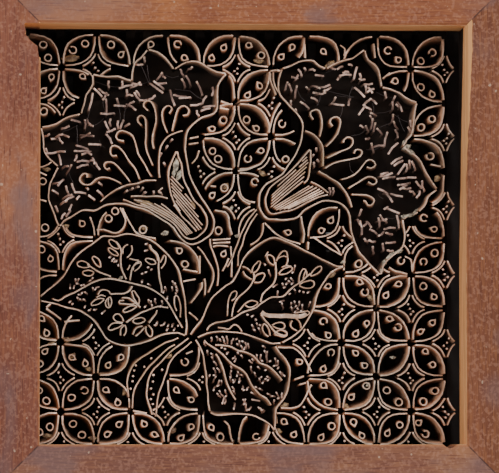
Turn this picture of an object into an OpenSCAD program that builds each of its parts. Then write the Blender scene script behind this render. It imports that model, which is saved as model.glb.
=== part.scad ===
// Batik stamp of soldered copper strips, shown in a deep mitred box frame.
// Stamp axes: x right and y up over the printing face, z out of it towards the viewer, origin at its centre.

/* [Stamp] */
// Distance between neighbouring grid lines of the kawung ground
pitch = 17.3; // [16:0.1:18]
// Height of a ground cell as a share of its width
cell_rise = 0.98; // [0.97:0.005:0.985]
// Depth of the kawung strips, from printing edge to lattice
strip_depth = 17; // [12:0.5:18]
// Thickness of a copper strip on edge
strip_t = 0.9; // [0.6:0.05:1]
// Thickness of the plates that carry the bouquet
plate_t = 1; // [0.8:0.1:1.2]
// Radius of a wire pin
pin_r = 0.55; // [0.4:0.05:0.7]
// Thickness of the wire bent over inside the flowers
wire_t = 0.8; // [0.6:0.1:0.9]
// Outer radius of a round ring
ring_r = 2.1; // [1.8:0.1:2.2]
// Outer radius of a drop-shaped ring
drop_r = 1.75; // [1.5:0.05:1.8]
// Reach of a drop's point as a multiple of its radius
drop_tip = 1.55; // [1.3:0.05:1.6]
// Width of a lattice bar
bar_w = 4.6; // [4.4:0.1:5]
// Depth of a lattice bar
bar_d = 3; // [2:0.5:4]

/* [Box frame] */
// Width of a rail seen from the front
rail_w = 32; // [28:1:38]
// How far the front lip covers the stamp
lip = 9.5; // [9.5:0.5:12]
// Thickness of the front lip
lip_t = 30; // [14:1:34]
// Depth of the rebate behind the lip
rebate_d = 64; // [62:1:80]
// Chamfer on the rails' front edges
edge = 1.2; // [0.5:0.1:2]
// Thickness of the black lining boards
board_t = 4; // [3:0.5:6]
// Side of the square beads behind the boards
bead = 6; // [4:0.5:8]

/* [Handle] */
// Distance between the two legs
leg_gap = 96; // [80:2:110]
// Diameter of a leg
leg_d = 8; // [6:0.5:10]
// Diameter of the grip
grip_d = 12; // [11:0.5:13]
// Length of the grip
grip_l = 118; // [112:2:140]

/* [Hangers] */
// Height of the hinge above the stamp's centre
hanger_y = 70; // [40:5:90]
// Radius of the D-ring's arc
d_ring_r = 9; // [9:0.5:11]
// Diameter of the D-ring's wire
d_wire = 2.4; // [2:0.1:2.6]

/* [Hidden] */
$fn = 48;
open_x0 = -97.2;
open_x1 = 110.4;
open_y0 = -101;
open_y1 = 103.5;
frame_x0 = open_x0 - rail_w;
frame_x1 = open_x1 + rail_w;
frame_y0 = open_y0 - rail_w;
frame_y1 = open_y1 + rail_w;
frame_cx = (frame_x0 + frame_x1) / 2;
frame_cy = (frame_y0 + frame_y1) / 2;
wall_w = rail_w - lip;
fit = 0.2;
in_x0 = frame_x0 + wall_w;
in_x1 = frame_x1 - wall_w;
in_y0 = frame_y0 + wall_w;
in_y1 = frame_y1 - wall_w;
upright_z = -strip_depth - bar_d;
crossbar_z = upright_z - bar_d;
board_z = crossbar_z - board_t;
grip_z = -57;
leg_hole_r = leg_d / 2 + 1;
plate_z = -strip_depth;
bouquet_depth = strip_depth - plate_t;
half_grid = 6;
solder = 0.05;
butt = 0.5;
ring_gap = 50;
ring_rest = 0.7;
petal_cuts = 7;
star_cuts = 5;
hatch_t = 0.7;
leaflet_t = 0.8;
leaning_t = 2.2;
upright_count = 12;
upright_over = 4;
play = 0.1;
strap_t = 1.2;
strap_w = 10;
strap_l = 20;
loop_r = 2.4;
hinge_z = -rebate_d - 2.8;
screw_r = 1.4;
screw_head_r = 2.2;
screw_head_t = 1.5;
screw_l = 12;
screw_drops = [5, 15];
hanger_left_x = frame_x0 + wall_w / 2;
hanger_right_x = frame_x1 - wall_w / 2;
origin_z = (lip_t + hinge_z - loop_r) / 2;

// Stands the stamp axes up: the printing face looks along -Y and the origin is under the middle of the box.
module stood() {
    translate([-frame_cx, origin_z, -frame_y0]) rotate([90, 0, 0]) children();
}

// Point on a smooth curve between b and c, at t from 0 to 1
function between(a, b, c, d, t) =
    0.5 * (2 * b + (c - a) * t + (2 * a - 5 * b + 4 * c - d) * t * t + (3 * b - 3 * c + d - a) * t * t * t);

// Points are given on square cells. This lays one down on the real, slightly flat ones.
function laid(p) = [p.x, cell_rise * p.y];

// Smooth open curve through the points of p, each gap cut in n
function curve(p, n = 2) =
    let (e = len(p) - 1)
    [for (i = [0:e - 1], s = [0:n - 1])
        laid(between(p[max(i - 1, 0)], p[i], p[i + 1], p[min(i + 2, e)], s / n)), laid(p[e])];

// Smooth closed curve through the points of p
function closed(p, n = 2) =
    let (m = len(p))
    [for (i = [0:m - 1], s = [0:n - 1])
        laid(between(p[(i + m - 1) % m], p[i], p[(i + 1) % m], p[(i + 2) % m], s / n))];

function unit(v) = v / norm(v);
function across(v) = [-v.y, v.x];

// Line beside an open path, d to its left
function beside(p, d) =
    let (e = len(p) - 1)
    [for (i = [0:e]) p[i] + d * across(unit(p[min(i + 1, e)] - p[max(i - 1, 0)]))];

// Line beside a closed path
function beside_closed(p, d) =
    let (m = len(p))
    [for (i = [0:m - 1]) p[i] + d * across(unit(p[(i + 1) % m] - p[(i + m - 1) % m]))];

function reversed(p) = [for (i = [len(p) - 1:-1:0]) p[i]];

// Path with both ends drawn back by d, so that its strip butts against the next without cutting into it
function shortened(p, d) =
    let (e = len(p) - 1, first = p[0] + d * unit(p[1] - p[0]), last = p[e] + d * unit(p[e - 1] - p[e]))
    [for (i = [0:e]) i == 0 ? first : i == e ? last : p[i]];

// A strip's printing edge
module band(path, t = strip_t) { polygon(concat(beside(path, t / 2), reversed(beside(path, -t / 2)))); }

// Strip on edge along an open path, from the printing face down to depth
module strip(path, depth = strip_depth, t = strip_t) {
    translate([0, 0, -depth]) linear_extrude(depth) band(path, t);
}

// Smooth strips of the bouquet, one for each list of points
module strips(paths, t = strip_t, depth = bouquet_depth) {
    for (p = paths) strip(shortened(curve(p), butt), depth, t);
}

// Strip bent into a closed loop
module loop_strip(p, t = strip_t) {
    outer = beside_closed(closed(p), t / 2);
    inner = beside_closed(closed(p), -t / 2);
    m = len(outer);
    translate([0, 0, -bouquet_depth]) linear_extrude(bouquet_depth)
        polygon(concat(outer, inner), [[for (i = [0:m - 1]) i], [for (i = [0:m - 1]) m + i]]);
}

module pins(points, depth) {
    for (p = points) translate([p.x, cell_rise * p.y, -depth]) cylinder(h = depth, r = pin_r, $fn = 24);
}

// Plate that lies under a whole motif and carries its strips
module plate(outline) {
    translate([0, 0, plate_z]) linear_extrude(plate_t) polygon(outline);
}

// Kawung ground. A cell is [column, row, fullness of side A, fullness of side B], with A and B whole.
whole_petals = [
    [0, 11, 10, 10], [1, 11, 10, 10.7], [2, 11, 9.5, 10.5], [5, 11, 10, 11], [6, 11, 8.5, 11.5],
    [10, 11, 10.5, 12.5], [11, 11, 9, 13], [0, 10, 10, 10], [6, 10, 10, 10], [11, 10, 10, 10],
    [6, 9, 10, 10], [11, 9, 9, 11], [5, 8, 10, 10], [6, 8, 10, 10], [8, 6, 10.5, 11], [0, 5, 12, 11],
    [11, 5, 9, 11.6], [9, 4, 12, 10], [10, 4, 10.8, 9.8], [11, 4, 10.5, 11], [0, 3, 9, 10], [9, 3, 9, 11],
    [10, 3, 7.5, 12.5], [11, 3, 10, 10.5], [0, 2, 10, 9], [1, 2, 12.5, 9.6], [8, 2, 8, 12.5],
    [9, 2, 9, 10.5], [10, 2, 11.2, 9], [11, 2, 10, 11], [0, 1, 9.3, 10], [1, 1, 10.3, 10.3],
    [2, 1, 10.8, 10.5], [8, 1, 11.2, 9], [9, 1, 9.5, 10], [10, 1, 8, 11.5], [11, 1, 10.5, 9],
    [0, 0, 11, 12], [1, 0, 11, 10.4], [2, 0, 10, 12.8], [3, 0, 9.6, 10], [4, 0, 8.8, 11.8],
    [8, 0, 10.5, 12], [9, 0, 9.5, 8], [10, 0, 10.5, 9], [11, 0, 8.8, 12]];

// Sides cut short by the bouquet: [column, row, 0 for A or 1 for B, fullness, start, end]
part_petals = [
    [3, 11, 0, 9, 0, 1], [4, 11, 0, 10.5, 0, 1], [4, 11, 1, 12, 0, 0.6], [7, 11, 0, 9.5, 0, 1],
    [7, 11, 1, 10.5, 0.55, 1], [8, 11, 0, 12, 0, 1], [9, 11, 0, 7.5, 0, 1], [1, 10, 0, 12, 0, 0.5],
    [1, 10, 1, 11, 0, 0.75], [5, 10, 0, 12, 0.5, 1], [7, 10, 0, 10, 0, 0.25], [7, 10, 1, 10, 0, 0.6],
    [10, 10, 0, 10, 0.55, 1], [10, 10, 1, 10, 0.6, 1], [0, 9, 0, 11, 0, 0.6], [0, 9, 1, 10, 0, 0.5],
    [5, 9, 0, 10, 0.75, 1], [5, 9, 1, 10, 0, 1], [7, 9, 0, 10, 0, 0.55], [7, 9, 1, 10, 0, 0.4],
    [0, 8, 1, 10, 0, 0.5], [7, 8, 0, 10, 0, 0.45], [7, 8, 1, 10, 0, 0.5], [11, 8, 0, 10, 0, 1],
    [0, 7, 0, 10, 0, 0.35], [0, 7, 1, 10, 0.4, 0.8], [5, 7, 0, 9.2, 0.25, 1], [5, 7, 1, 9, 0.25, 1],
    [6, 7, 0, 10, 0, 0.4], [6, 7, 1, 12.5, 0, 0.8], [11, 7, 1, 12.5, 0.3, 1], [0, 6, 1, 12.5, 0, 0.7],
    [1, 6, 0, 10, 0.6, 1], [1, 6, 1, 12.5, 0.35, 1], [2, 6, 0, 10, 0, 0.55], [6, 6, 0, 9.5, 0, 0.75],
    [11, 6, 0, 11, 0.45, 1], [11, 6, 1, 12.5, 0.3, 1], [1, 5, 0, 11.8, 0, 1], [4, 5, 0, 8.7, 0, 1],
    [4, 5, 1, 10, 0.7, 1], [9, 5, 0, 11, 0, 0.6], [9, 5, 1, 10, 0, 0.6], [0, 4, 0, 10, 0.6, 1],
    [8, 4, 1, 12.5, 0, 1], [1, 3, 0, 10, 0, 0.55], [1, 3, 1, 9.5, 0, 0.75], [8, 3, 0, 10, 0, 1],
    [8, 3, 1, 12.5, 0.4, 1], [2, 2, 0, 9.8, 0, 0.7], [2, 2, 1, 11, 0, 1], [4, 2, 1, 12.5, 0, 1],
    [4, 1, 0, 8.5, 0, 0.75], [4, 1, 1, 12.5, 0, 1], [5, 0, 1, 12.5, 0, 1], [6, 0, 0, 12, 0, 0.6],
    [6, 0, 1, 12.5, 0, 1], [7, 0, 0, 11, 0, 1], [7, 0, 1, 10.5, 0.25, 1]];

// Ground strips that follow no cell, where the ground was fitted round the bouquet
odd_strips = [
    [[33.8, 99], [34, 91.6]], [[68.3, 99.4], [68.8, 91.8]], [[51.4, 98.5], [53.8, 96.6], [53.3, 92.8]],
    [[72.4, 81.3], [76.2, 84.7]], [[-8.3, 66.6], [-3.8, 65.4]], [[-7.9, 69.7], [-2.6, 68]],
    [[16, 53.7], [17.1, 58.5], [18.6, 63.7], [21.9, 69]], [[-22.9, 50.9], [-18.6, 51.8]],
    [[-23.6, 47.8], [-18.8, 48.7]], [[-18.6, 44.7], [-19.5, 41.3], [-22.1, 38.5]],
    [[96.4, 38.2], [101.4, 37]], [[-12.9, 26.8], [-10, 26.8]], [[16.7, 85.1], [20.4, 85.7]],
    [[16.9, 83.9], [17.1, 80.4], [18.6, 76.6], [20, 72.8]], [[1, 34.7], [5.2, 35.1], [9.5, 37]],
    [[-69, 4.2], [-65.1, 4.7], [-61.3, 3.5], [-58.5, 3.7], [-56.1, 5.6], [-54.9, 8.5], [-55.2, 11.3],
        [-57.3, 15.9]],
    [[-56.2, 15.6], [-53.8, 10.4], [-51.3, 6.1], [-49, 3.2], [-44.7, 1.3], [-39.9, 0.4]],
    [[-10.5, 14.7], [-5.7, 13.9], [-3.8, 10.9], [-3.3, 7], [-2.4, 2.5]], [[-11.7, -0.1], [-2.9, 0.3]],
    [[-11.4, -1.7], [-2.9, -1.4]], [[-11.4, -3.6], [-9.5, -2.9], [-4, -3.4]],
    [[13.8, 8.5], [16.7, 5.6], [19.5, 2.8], [23.3, 0.4], [26.7, -1], [31.4, -2.2]],
    [[31.9, 11.8], [32.9, 7], [33.6, 2.8], [32.9, -1.5]], [[-2.6, -3.4], [-2.6, -9.6], [-2.4, -19.1]],
    [[-3.9, -9.6], [-6.9, -16]], [[37.6, 1.3], [42.4, -2], [47.1, -4.9], [52.1, -7.7]],
    [[35.7, -1], [35.5, -4.9]], [[34.3, -6.8], [37.6, -9.6]],
    [[83.3, -8.4], [86.2, -9.6], [86.9, -13.4], [87.1, -16.3]],
    [[75.5, -13.7], [78.6, -15.8], [81.4, -16.5], [84.8, -17.3]], [[-26.2, -21.3], [-20, -20.1]],
    [[-17.1, -21.5], [-17.1, -23.9], [-18.6, -26.8], [-22.4, -32]], [[-18.1, -8.2], [-18.1, -17.2]],
    [[-15.7, -19.6], [-15.5, -23], [-15.7, -28.2]], [[-85.1, -41.6], [-77.5, -40.9]],
    [[-25, -57.5], [-21.6, -56.1]], [[28.6, -70.4], [33.6, -68.7]],
    [[20.5, -54.2], [24.3, -54.2], [28.1, -54.7], [31.4, -57], [33.8, -60.4], [35.7, -63.7], [37.4, -66.6]],
    [[-50.9, -86.1], [-44.2, -87.3]],
    [[37.4, -73.2], [35.2, -77], [33.3, -80.9], [30.5, -83.7], [26.7, -84.9], [21.9, -84.7]],
    [[31, -72.9], [34.9, -72.1]], [[-5.7, -91.3], [-3.8, -93.7], [-3.3, -97.5], [-1.9, -101.8]],
    [[19.5, -85.6], [19.5, -88.5], [20, -92.8]], [[-91.4, -32.2], [-93.8, -34.1]],
    [[-93.8, -34.6], [-90, -37.4], [-86.7, -40.3]]];

// Corner of side A, in a cell whose petal rises to the right
function side_a(k, t) =
    let (a = strip_t, s = 2 * strip_t, p0 = [a, s], p1 = [a, s + k], p2 = [pitch - s - k, pitch - a])
    let (p3 = [pitch - s, pitch - a], u = 1 - t)
    u * u * u * p0 + 3 * u * u * t * p1 + 3 * u * t * t * p2 + t * t * t * p3;

// Turns a point of a rising petal into the place that its cell and side give it
function in_cell(c, r, side, p) =
    let (q = side == 1 ? [p.y, p.x] : p, w = (c + r) % 2 == 0 ? q : [q.y, pitch - q.x])
    laid([(c - half_grid) * pitch + w.x, (r - half_grid) * pitch + w.y]);

function petal_side(c, r, side, k, from, to) =
    let (n = max(2, round(petal_cuts * (to - from))))
    [for (i = [0:n]) in_cell(c, r, side, side_a(k, from + (to - from) * i / n))];

// Printing edges of the ground's petals
module petal_edges(t) {
    for (p = whole_petals, side = [0, 1]) band(petal_side(p[0], p[1], side, p[2 + side], 0, 1), t);
    for (p = part_petals) band(petal_side(p[0], p[1], p[2], p[3], p[4], p[5]), t);
    for (p = odd_strips) band(curve(p), t);
}

// What the bouquet covers, with room for solder beside its outer strips
module bouquet_area() {
    for (o = bouquet_outlines) polygon(o);
    for (p = bouquet_edges) band(curve(p), strip_t + 2 * solder);
}

module kawung_petals() {
    color("peru") stood() translate([0, 0, -strip_depth]) linear_extrude(strip_depth) difference() {
        petal_edges(strip_t);
        bouquet_area();
    }
}

// Rings inside the petals: [column, row, then dx, dy from the cell's centre and a turn for each ring].
// A positive turn points a drop's tip, a negative one the gap of an open ring, and 0 is a round ring.
ring_cells = [
    [0, 11, -0.5, 2.5, 0, 2, -4, 0], [1, 11, -3.2, 0, -150, 3, 3, 0], [2, 11, -1.5, 3, 0, 4.2, -2, 45],
    [3, 11, 0.5, 3, 235], [4, 11, -3, 3.5, -330, 0.5, -3.5, 330], [5, 11, 2.5, 2, 60, -3.7, -3.2, 80],
    [6, 11, -2.5, 3, 330, 3.7, -2, 0], [7, 11, 1.5, 2, 240, -4, -2.5, 50], [8, 11, 0, 0, 315],
    [10, 11, -2.5, 1, -340, 2.5, -4, 130], [11, 11, 2, 0, -225, -3.5, -4.5, 0],
    [0, 10, 4, 3.5, 255, 0, -3, 45], [1, 10, 2, 4, 320], [6, 10, 2.5, 0, 120, -3, -4.5, 60],
    [10, 10, 0.5, 2.5, 200], [11, 10, -3.8, -0.4, 0, 2, -3.9, 110], [0, 9, 0, 3.5, 0],
    [5, 9, 2, -0.5, 0, -4, -4.8, 160], [6, 9, -4, 0, 0, 0.9, -4.1, 150], [7, 9, -3.5, -2, -60],
    [11, 9, 2, 0.5, 0, -4.2, -3.5, 0], [5, 8, -3.2, 1.2, 0, -0.3, -2.8, 0],
    [6, 8, -2.9, -2.4, -80, 3.3, 1.7, 200], [7, 8, -1.7, -2.7, 0], [11, 8, 1, -0.8, -120],
    [0, 7, -0.3, 3, 0], [5, 7, -3.2, -3.6, 45, 2.7, 0.2, 0], [6, 7, 0.5, 3.1, -330], [0, 6, 0.8, -3, 0],
    [1, 6, 1.8, -0.7, 130], [2, 6, -2.5, 1.5, 0, 0.9, 5.5, 0], [3, 6, -2.9, -3.8, 0],
    [5, 6, -0.2, -4.3, 0], [7, 6, -0.5, -5, 160], [8, 6, 4.2, 1.3, 60, -0.9, -4, 20],
    [11, 6, -2, 2.5, -340, 2.8, -3, 165], [0, 5, -1, 3.5, 0, 4.2, -1.3, 100],
    [4, 5, -2.4, 3.1, 140, 0.3, -3.9, 0], [5, 5, 2.5, 1.5, 60], [9, 5, 0, -3.6, 0],
    [10, 5, 4.3, -1.9, -60], [11, 5, 3.2, 2.2, 0, -2.3, -2.4, -270], [8, 4, 2, 2.6, 200],
    [9, 4, 0.7, 4.6, 340, 3.2, -0.4, -90], [10, 4, 2.2, 3.5, 200, -3.9, -1.6, 60],
    [11, 4, -2.6, 2.8, 0, 2.8, -2.5, 120], [0, 3, -0.4, 3.3, 315, 1.5, -4.1, 110],
    [8, 3, 0, 2.2, -300, 2, -4.6, 130], [9, 3, 4.2, 0.8, 270, -1.3, -3.8, 60],
    [10, 3, -1.9, 3.4, 340, 2.2, -0.8, -150], [11, 3, 2, 1.7, 50, -3.8, -2.7, 30],
    [0, 2, 1, 4, 45, -1.7, -2.3, 0], [1, 2, -3, 1, 330, 3.5, -1.8, 100],
    [2, 2, 4.2, 1, 230, -2.3, -2.7, 60], [4, 2, 0.5, -1, -120], [7, 2, 4.4, -0.8, 130],
    [8, 2, 3.9, 3.6, -270, -0.2, -4.2, 70], [9, 2, -1.6, 3.6, 140, 2.8, -2.7, 140],
    [11, 2, -1.4, 4, 320, 2, -2.3, 170], [0, 1, -1.9, 1.9, 0, 1.7, -3.5, 0],
    [1, 1, 2.8, 2, -200, -3.1, -2.1, 0], [2, 1, -4.2, 1.8, 325, 2.1, -4, 110],
    [4, 1, -3.4, 1.8, 320, 3.4, -2.6, 150], [8, 1, 0, 4.2, 320, 2, -4, 0],
    [9, 1, -3.9, -1.2, 50, 4.2, 4.2, 0], [10, 1, -3.4, 1.8, 0, 2.4, -4, 0],
    [11, 1, 3.2, 1.8, 0, -2.6, -3.8, 0], [0, 0, 4, 1, 0, -1.7, -1.9, 0], [1, 0, -2.6, 2.4, 0, 2, -3.1, 0],
    [2, 0, 3.1, 2.4, 40, -2.7, -2.7, 20], [3, 0, -2.4, 2.4, 120, 3.4, -2.9, 340],
    [4, 0, 4, 0.5, 240, -1.2, -4.5, 45], [5, 0, -4.2, 0.5, 300, 0.6, -4.3, 0], [6, 0, 1.4, -3.9, -20],
    [7, 0, -2.2, 3.4, 330, 2.7, -2.7, 60], [8, 0, 3.9, 1.5, 0, -1.4, -4.1, 60],
    [9, 0, -2.5, 2.9, 280, 1.1, -3.4, 120], [10, 0, -3.4, -2.2, 60, 2.9, 2, 0],
    [11, 0, -4.6, 2.9, 45, -1.6, -2.7, -150]];

// Drop with its tip along +x: a disc and the corner that its tangents make
module drop(r) {
    touch = acos(1 / drop_tip);
    circle(r);
    polygon([[drop_tip * r, 0], r * [cos(touch), sin(touch)], r * [cos(touch), -sin(touch)]]);
}

// A drop is a short strip bent round until its ends meet in the tip.
module drop_ring(turn) {
    rotate(turn) translate([drop_r - ring_r, 0, 0]) linear_extrude(strip_depth) difference() {
        drop(drop_r);
        drop(drop_r - strip_t);
    }
}

// A round ring is rolled up from strip, with or without a gap.
module round_ring(turn) {
    gap = turn < 0 ? ring_gap : 0;
    rotate(gap / 2 - turn) rotate_extrude(angle = 360 - gap)
        translate([ring_r - strip_t, 0]) square([strip_t, strip_depth]);
}

// Does a plate of the bouquet cover p?
function covered(p) = len([for (o = bouquet_outlines) if (inside(p, o)) 1]) > 0;

// Moves a ring sideways out of the middle of a gap between two uprights
function over_bar(x) =
    let (d = x - (floor(2 * x / pitch) + 0.5) * pitch / 2)
    abs(d) < ring_rest ? x + (d < 0 ? -1 : 1) * (ring_rest - abs(d)) : x;

module kawung_rings() {
    color("chocolate") stood() for (cell = ring_cells, j = [2:3:len(cell) - 3]) {
        middle = [(cell[0] - half_grid + 0.5) * pitch, (cell[1] - half_grid + 0.5) * pitch];
        at = laid(middle + [cell[j], cell[j + 1]]);
        translate([over_bar(at.x), at.y, -strip_depth]) {
            if (cell[j + 2] > 0) drop_ring(cell[j + 2]);
            else round_ring(cell[j + 2]);
        }
    }
}

// Grid points that carry a whole star
stars = [
    [-4, 5], [0, 5], [6, 5], [-5, 4], [0, 3], [6, 3], [0, 1], [6, 1], [-5, 0], [3, 0], [5, 0],
    [4, -1], [6, -1], [3, -2], [5, -2], [2, -3], [4, -3], [6, -3], [-5, -4], [3, -4], [5, -4], [-4, -5],
    [-2, -5], [4, -5], [6, -5], [-5, -6], [-3, -6], [-1, -6], [1, -6], [3, -6], [5, -6]];
// Grid points with some sides of a star only, each with its quadrants counted from the upper right
part_stars = [
    [1, 4, [1, 2]], [-1, 2, [0, 3]], [1, 2, [0, 1]], [-4, -3, [1, 2, 3]], [-1, -4, [1, 2]],
    [2, -5, [0, 2, 3]]];
star_reach = 6.8;
edge_reach = 4.4;
star_waist = 2.2;

// Reach of a star's point in direction q, shorter where the ground ends
function at_edge(s, q) = (q == 0 && s.x == half_grid) || (q == 3 && s.y == -half_grid);
function reach(s, q) = at_edge(s, q) ? edge_reach : star_reach;

// One hollow side of a star, between its points in directions q and q + 1
module star_side(s, q) {
    a = [reach(s, q), 0.6];
    b = [0.6, reach(s, (q + 1) % 4)];
    c = [star_waist, star_waist];
    path = [for (i = [0:star_cuts])
        let (t = i / star_cuts) (1 - t) * (1 - t) * a + 2 * t * (1 - t) * c + t * t * b];
    translate(laid(s * pitch)) rotate(90 * q) band(path);
}

module star_strips() {
    color("peru") stood() translate([0, 0, -strip_depth]) linear_extrude(strip_depth) difference() {
        union() {
            for (s = stars, q = [0:3]) star_side(s, q);
            for (s = part_stars, q = s[2]) star_side(s, q);
        }
        petal_edges(strip_t + 2 * solder);
        bouquet_area();
    }
}

// Wire pins in the heart of each star
star_dots = [[-1.5, 2.2], [-0.5, -0.2], [-0.3, -3], [1.1, -1.6]];

module star_pins() {
    edges = samples(bouquet_edges);
    centres = concat(stars, [for (s = part_stars) [s.x, s.y]]);
    color("sandybrown") stood() for (i = [0:len(centres) - 1]) {
        turn = i % 2 == 0 ? 1 : -1;
        places = [for (d = star_dots) centres[i] * pitch + [turn * d.x, d.y]];
        open = [for (p = places) if (!covered(laid(p)) && clearance(laid(p), edges) > 2 * pin_r) p];
        pins(open, strip_depth);
    }
}

// Outline of the left flower, one list for each scallop, in order round it
left_rim = [
    [[-87.5, 6.1], [-85.1, 9], [-81.3, 11.3], [-77.5, 13.7], [-74.7, 14.4], [-70.4, 14.2], [-67, 15.9],
        [-63.7, 17.3], [-59.4, 17.8], [-55.1, 17.5], [-50.9, 16.6], [-46.1, 15.1], [-41.3, 12.8],
        [-36.1, 9.9], [-31, 5.5], [-28.6, 1.8], [-26.2, -0.6], [-24.3, -2], [-21.4, -2.5], [-18.1, -1.5],
        [-15.2, 0.4], [-12.4, 3.2], [-11.2, 6.6], [-11.2, 9.9], [-12.4, 13.2], [-14.8, 17], [-17.1, 20.4],
        [-20, 25.1], [-21.9, 29], [-23.3, 33.2], [-24.3, 38], [-25.5, 45.1], [-24.9, 50.9], [-23.8, 55.1],
        [-21, 58.5], [-17.6, 61.3], [-14.3, 62.3], [-11, 63.7], [-9.5, 66.6], [-9.5, 72.8], [-9, 77.5],
        [-7.1, 81.3], [-4.8, 83.7]],
    [[-4.8, 83.7], [-9.5, 84.2], [-13.3, 86.1], [-17.1, 88.5], [-20, 89.7], [-24.3, 89.4], [-27.6, 88],
        [-30.7, 85.5]],
    [[-30.7, 85.5], [-35.2, 91.3], [-39.4, 94.2], [-44.1, 95.9]],
    [[-44.1, 95.9], [-47, 91.8], [-50.4, 89], [-51.6, 84.2], [-51.8, 79.4]],
    [[-51.8, 79.4], [-54.7, 80.4], [-58.5, 82], [-64.2, 81.8], [-70.9, 83]],
    [[-70.9, 83], [-70.6, 78.5], [-72.3, 75.1], [-74.2, 72.8], [-75.1, 69], [-76.1, 65.2], [-76.6, 62.8]],
    [[-76.6, 62.8], [-82.3, 61.6], [-86.1, 59.9], [-89, 58], [-92.8, 56.6], [-96.4, 55.9]],
    [[-96.4, 55.9], [-95.4, 50.9], [-95.2, 46.1], [-93.7, 42.3], [-90.4, 39], [-87.5, 36.3]],
    [[-87.5, 36.3], [-89, 33.7], [-90.4, 30.9], [-91.8, 28], [-92.5, 24.2], [-92.5, 19.9], [-91.6, 16.6],
        [-90.1, 12.8], [-89, 9.4], [-87.5, 6.1]]];

// Outline of the right flower
right_rim = [
    [[22.6, 86.6], [21.2, 81.3], [21, 77], [21.9, 73.2], [24.3, 69.9], [26.7, 67], [29.5, 64.2],
        [31.9, 60.9], [32.9, 57], [32.6, 52.8], [31.9, 49.4], [31, 46.1], [29, 42.3], [26.2, 38],
        [24.3, 35.1], [22.4, 32.8], [19, 30.4], [15.2, 28.5], [12.9, 26.1], [11.4, 23.2], [11.2, 19.9],
        [11.4, 16.6], [12.9, 13.2], [14.8, 10.9], [17.1, 10.1], [21.9, 9.9], [26.7, 10.1], [30.5, 11.3],
        [32.9, 14.2], [35.2, 16.1], [38.6, 18], [42.4, 19.4], [46.2, 19.7], [50, 19.2], [52.9, 17.5],
        [55.2, 15.1], [56.4, 11.8], [56.7, 7.5], [57.1, 3.7], [58.6, -1], [60.5, -5.8], [62.9, -8.7],
        [65.7, -12], [68.6, -14.9], [71.4, -17.7]],
    [[71.4, -17.7], [72.4, -13.4], [74.3, -10.6], [77.1, -8.2], [80, -5.8], [82.4, -3.4], [83.6, 0.9],
        [83.1, 5.6], [82.4, 10.6]],
    [[82.4, 10.6], [87.6, 12.8], [90.5, 14.2]],
    [[90.5, 14.2], [92.9, 16.6], [94.3, 19.4], [95.2, 21.8], [97.1, 23.7], [99.8, 25.6]],
    [[99.8, 25.6], [97.6, 28.5], [95.7, 31.3], [93.8, 34.7], [91.9, 38.9], [89.5, 42.3], [86.2, 44.7],
        [82.7, 47.2]],
    [[82.7, 47.2], [84.8, 50.9], [86.9, 53.2], [87.6, 58], [88.1, 63.2], [89, 67.5], [89.8, 69.4]],
    [[89.8, 69.4], [86.7, 70.4], [83.8, 72.3], [81, 74.7], [76.2, 76.3], [71.9, 77]],
    [[71.9, 77], [71.4, 81.3], [70.5, 85.6], [68.1, 89], [65.7, 90.9], [64.3, 93.7], [63.8, 96.3]],
    [[63.8, 96.3], [61, 94.2], [57.6, 92], [52.9, 90.9], [48.1, 88.5], [44.5, 86]],
    [[44.5, 86], [41.4, 88], [38.6, 90.1], [35.2, 90.4], [31, 89.7], [27.1, 88], [22.6, 86.6]]];

// Joins the scallops into one outline, each without its last point
function outline(rim) = [for (p = rim) let (c = curve(p)) for (i = [0:len(c) - 2]) c[i]];

module flower_plate_left() { color("saddlebrown") stood() plate(outline(left_rim)); }
module flower_plate_right() { color("saddlebrown") stood() plate(outline(right_rim)); }
module flower_rim_left() { color("peru") stood() strips(left_rim); }
module flower_rim_right() { color("peru") stood() strips(right_rim); }

// Tulip at the heart of each flower: its outlines, the line between its petals, the sepal and the stamen base
left_tulip = [
    [[-56.6, 19.9], [-50.9, 18], [-46.1, 16.4], [-41.3, 14.3], [-36.1, 11.7], [-33, 9.4], [-30, 6.7],
        [-27.2, 3], [-25, 0.9], [-22.4, 0.1], [-20, 0.6], [-17.6, 2.5], [-15.9, 4.3], [-14.5, 7.5],
        [-14.5, 10.9], [-15.9, 13.7], [-18.1, 16.6], [-21, 19.9], [-23.8, 25.1], [-25.7, 29],
        [-26.9, 34.2], [-27.3, 38], [-28.6, 41.3], [-29.3, 45.1]],
    [[-29.3, 45.1], [-31.9, 39.4], [-33.6, 34.2], [-33.6, 29.4], [-33.1, 25.6], [-32.1, 21.8],
        [-30.5, 18], [-27.6, 13.7]],
    [[-52.8, 21.6], [-47, 21.8], [-41.3, 21.6], [-37.1, 21.3], [-33.6, 20.6]],
    [[-31.2, 17.6], [-28.6, 14.2], [-25.7, 10.4], [-22.4, 7.1], [-19.5, 3.7]],
    [[-26, 54.7], [-28.6, 54.2], [-32.4, 52.8], [-35.2, 50.4], [-37.4, 46.6], [-38.1, 42.3],
        [-38.1, 36.6], [-38, 30.5]],
    [[-67.5, 18.5], [-63.7, 21.8], [-59.4, 24.7], [-53.7, 27.3], [-48.5, 28.2], [-44.7, 29.4],
        [-39.1, 29.9]],
    [[-36.2, 26.1], [-38.6, 24.2], [-36.7, 22.8]]];
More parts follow.
